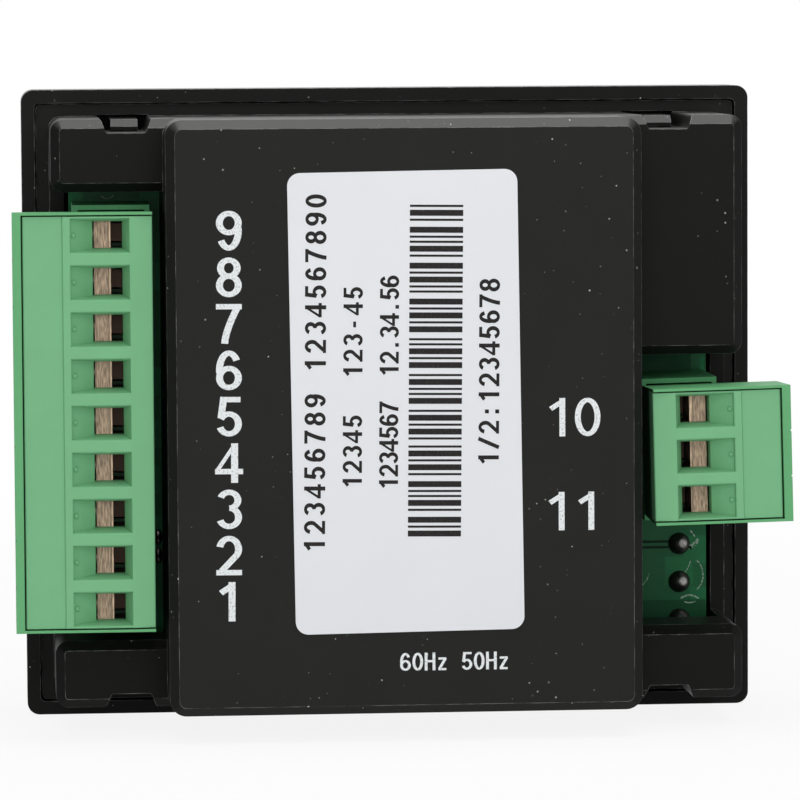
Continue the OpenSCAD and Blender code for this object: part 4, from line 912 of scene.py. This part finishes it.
class CONTROLLER_OT_stage(Dressing, bpy.types.Operator):
    """Set up the camera, the pale floor, the white surround and the soft lights"""

    bl_idname = "controller.stage"
    bl_label = "Studio"

    def execute(self, context):
        stage = context.scene.controller_stage
        self.surround(context.scene)
        self.floor(context.scene, stage)
        self.camera(context.scene, stage)
        self.light(context.scene, "top_light", (0.0, 0.1, 0.6), stage.light_size, stage.top_power)
        self.light(context.scene, "camera_light", (0.0, 0.75, 0.25), stage.light_size, stage.front_power)
        context.scene.view_settings.view_transform = "Standard"
        return {"FINISHED"}

    def seen(self, tree):
        """1 for rays from the camera, a mirror or glass, and 0 for light that falls on the object."""
        rays = add(tree, "ShaderNodeLightPath").outputs
        first = {0: rays["Is Camera Ray"], 1: rays["Is Glossy Ray"]}
        both = {0: add(tree, MATH, first, operation="MAXIMUM"), 1: rays["Is Transmission Ray"]}
        return add(tree, MATH, both, operation="MAXIMUM")

    def surround(self, scene):
        """White where it is seen, and a weaker even fill where it only lights."""
        world = bpy.data.worlds.new("white_surround")
        world.use_nodes = True
        tree = world.node_tree
        fill, white = 0.25, 1.0
        strength = add(tree, MAP, {0: self.seen(tree), 3: fill, 4: white})
        wire(tree, tree.nodes["Background"], {"Strength": strength, "Color": shaded(linear("#ffffff"))})
        scene.world = world

    def floor(self, scene, stage):
        """A pale disc under the object, nearly white where it is seen and wholly white further away."""
        rim = ring(0, 0, stage.floor_r / MM, 96)
        lowest = np.array([0, 0, CAD_BOX[0][2] / MM])
        ground = Plane(lowest, np.array([1, 0, 0]), np.array([0, 1, 0]), np.array([0, 0, 1]))
        mesh = bpy.data.meshes.new("floor")
        mesh.from_pydata(on_plane(ground, rim, -0.05) * MM, [], [list(range(len(rim)))])
        material, tree, shader, place = started("pale_paper_sweep", Roughness=0.9)
        wire(tree, shader, {"Base Color": mottled(tree, place, linear("#f1f1f1"), 0.01, 40)})
        white = add(tree, "ShaderNodeEmission", {"Strength": 1.0})
        away = add(tree, VECTOR, {0: place}, operation="LENGTH")
        near, wide, paleness = 60 * MM, 300 * MM, 0.88
        far = add(tree, MAP, {0: away, 1: near, 2: wide, 3: paleness})
        share = add(tree, MATH, {0: self.seen(tree), 1: far}, operation="MULTIPLY")
        mixed = add(tree, "ShaderNodeMixShader", {0: share, 1: shader, 2: white})
        wire(tree, tree.nodes["Material Output"], {"Surface": mixed})
        mesh.materials.append(material)
        floor = bpy.data.objects.new("floor", mesh)
        scene.collection.objects.link(floor)

    def camera(self, scene, stage):
        """Looks at the rear: the object turned by tilt, swing and roll, then set back by the distance."""
        seen_from_rear = Matrix(((-1, 0, 0), (0, 0, 1), (0, 1, 0)))
        turn = (
            Matrix.Rotation(stage.roll, 3, "Z")
            @ Matrix.Rotation(stage.swing, 3, "Y")
            @ Matrix.Rotation(stage.tilt, 3, "X")
            @ seen_from_rear
        )
        view = Matrix.Translation((stage.shift_x, stage.shift_z, -stage.distance)) @ turn.to_4x4()
        lens = bpy.data.cameras.new("camera")
        lens.sensor_width = 36.0
        lens.lens = stage.lens
        lens.clip_start = 0.01
        camera = bpy.data.objects.new("camera", lens)
        camera.matrix_world = view.inverted()
        scene.collection.objects.link(camera)
        scene.camera = camera

    def light(self, scene, name, place, size, power):
        """A square soft light that faces the object."""
        lamp = bpy.data.lights.new(name, "AREA")
        lamp.size = size
        lamp.energy = power
        holder = bpy.data.objects.new(name, lamp)
        holder.location = place
        holder.rotation_euler = (-Vector(place)).to_track_quat("-Z", "Y").to_euler()
        scene.collection.objects.link(holder)


class CONTROLLER_PT_dressing(bpy.types.Panel):
    """Lists the controller's dressing steps"""

    bl_idname = "CONTROLLER_PT_dressing"
    bl_label = "Genset controller"
    bl_space_type = "VIEW_3D"
    bl_region_type = "UI"
    bl_category = "Controller"

    def draw(self, context):
        for step in STEPS:
            self.layout.operator(step.bl_idname)
        for group in SETTINGS:
            settings = getattr(context.scene, group)
            for name in settings.__annotations__:
                self.layout.prop(settings, name)


STEPS = (
    CONTROLLER_OT_mouldings,
    CONTROLLER_OT_plugs,
    CONTROLLER_OT_clamps,
    CONTROLLER_OT_numbers,
    CONTROLLER_OT_label,
    CONTROLLER_OT_board,
    CONTROLLER_OT_inner,
    CONTROLLER_OT_fascia,
    CONTROLLER_OT_selector,
    CONTROLLER_OT_stage,
)
SETTINGS = {
    "controller_finish": ControllerFinish,
    "controller_print": ControllerPrint,
    "controller_stage": ControllerStage,
}


def register():
    for group in (*SETTINGS.values(), *STEPS, CONTROLLER_PT_dressing):
        bpy.utils.register_class(group)
    for name, group in SETTINGS.items():
        setattr(bpy.types.Scene, name, bpy.props.PointerProperty(type=group))


def unregister():
    for name in SETTINGS:
        delattr(bpy.types.Scene, name)
    for group in (CONTROLLER_PT_dressing, *reversed(STEPS), *SETTINGS.values()):
        bpy.utils.unregister_class(group)


def main():
    register()
    for step in STEPS:
        area, action = step.bl_idname.split(".")
        getattr(getattr(bpy.ops, area), action)()


if __name__ == "__main__":
    main()
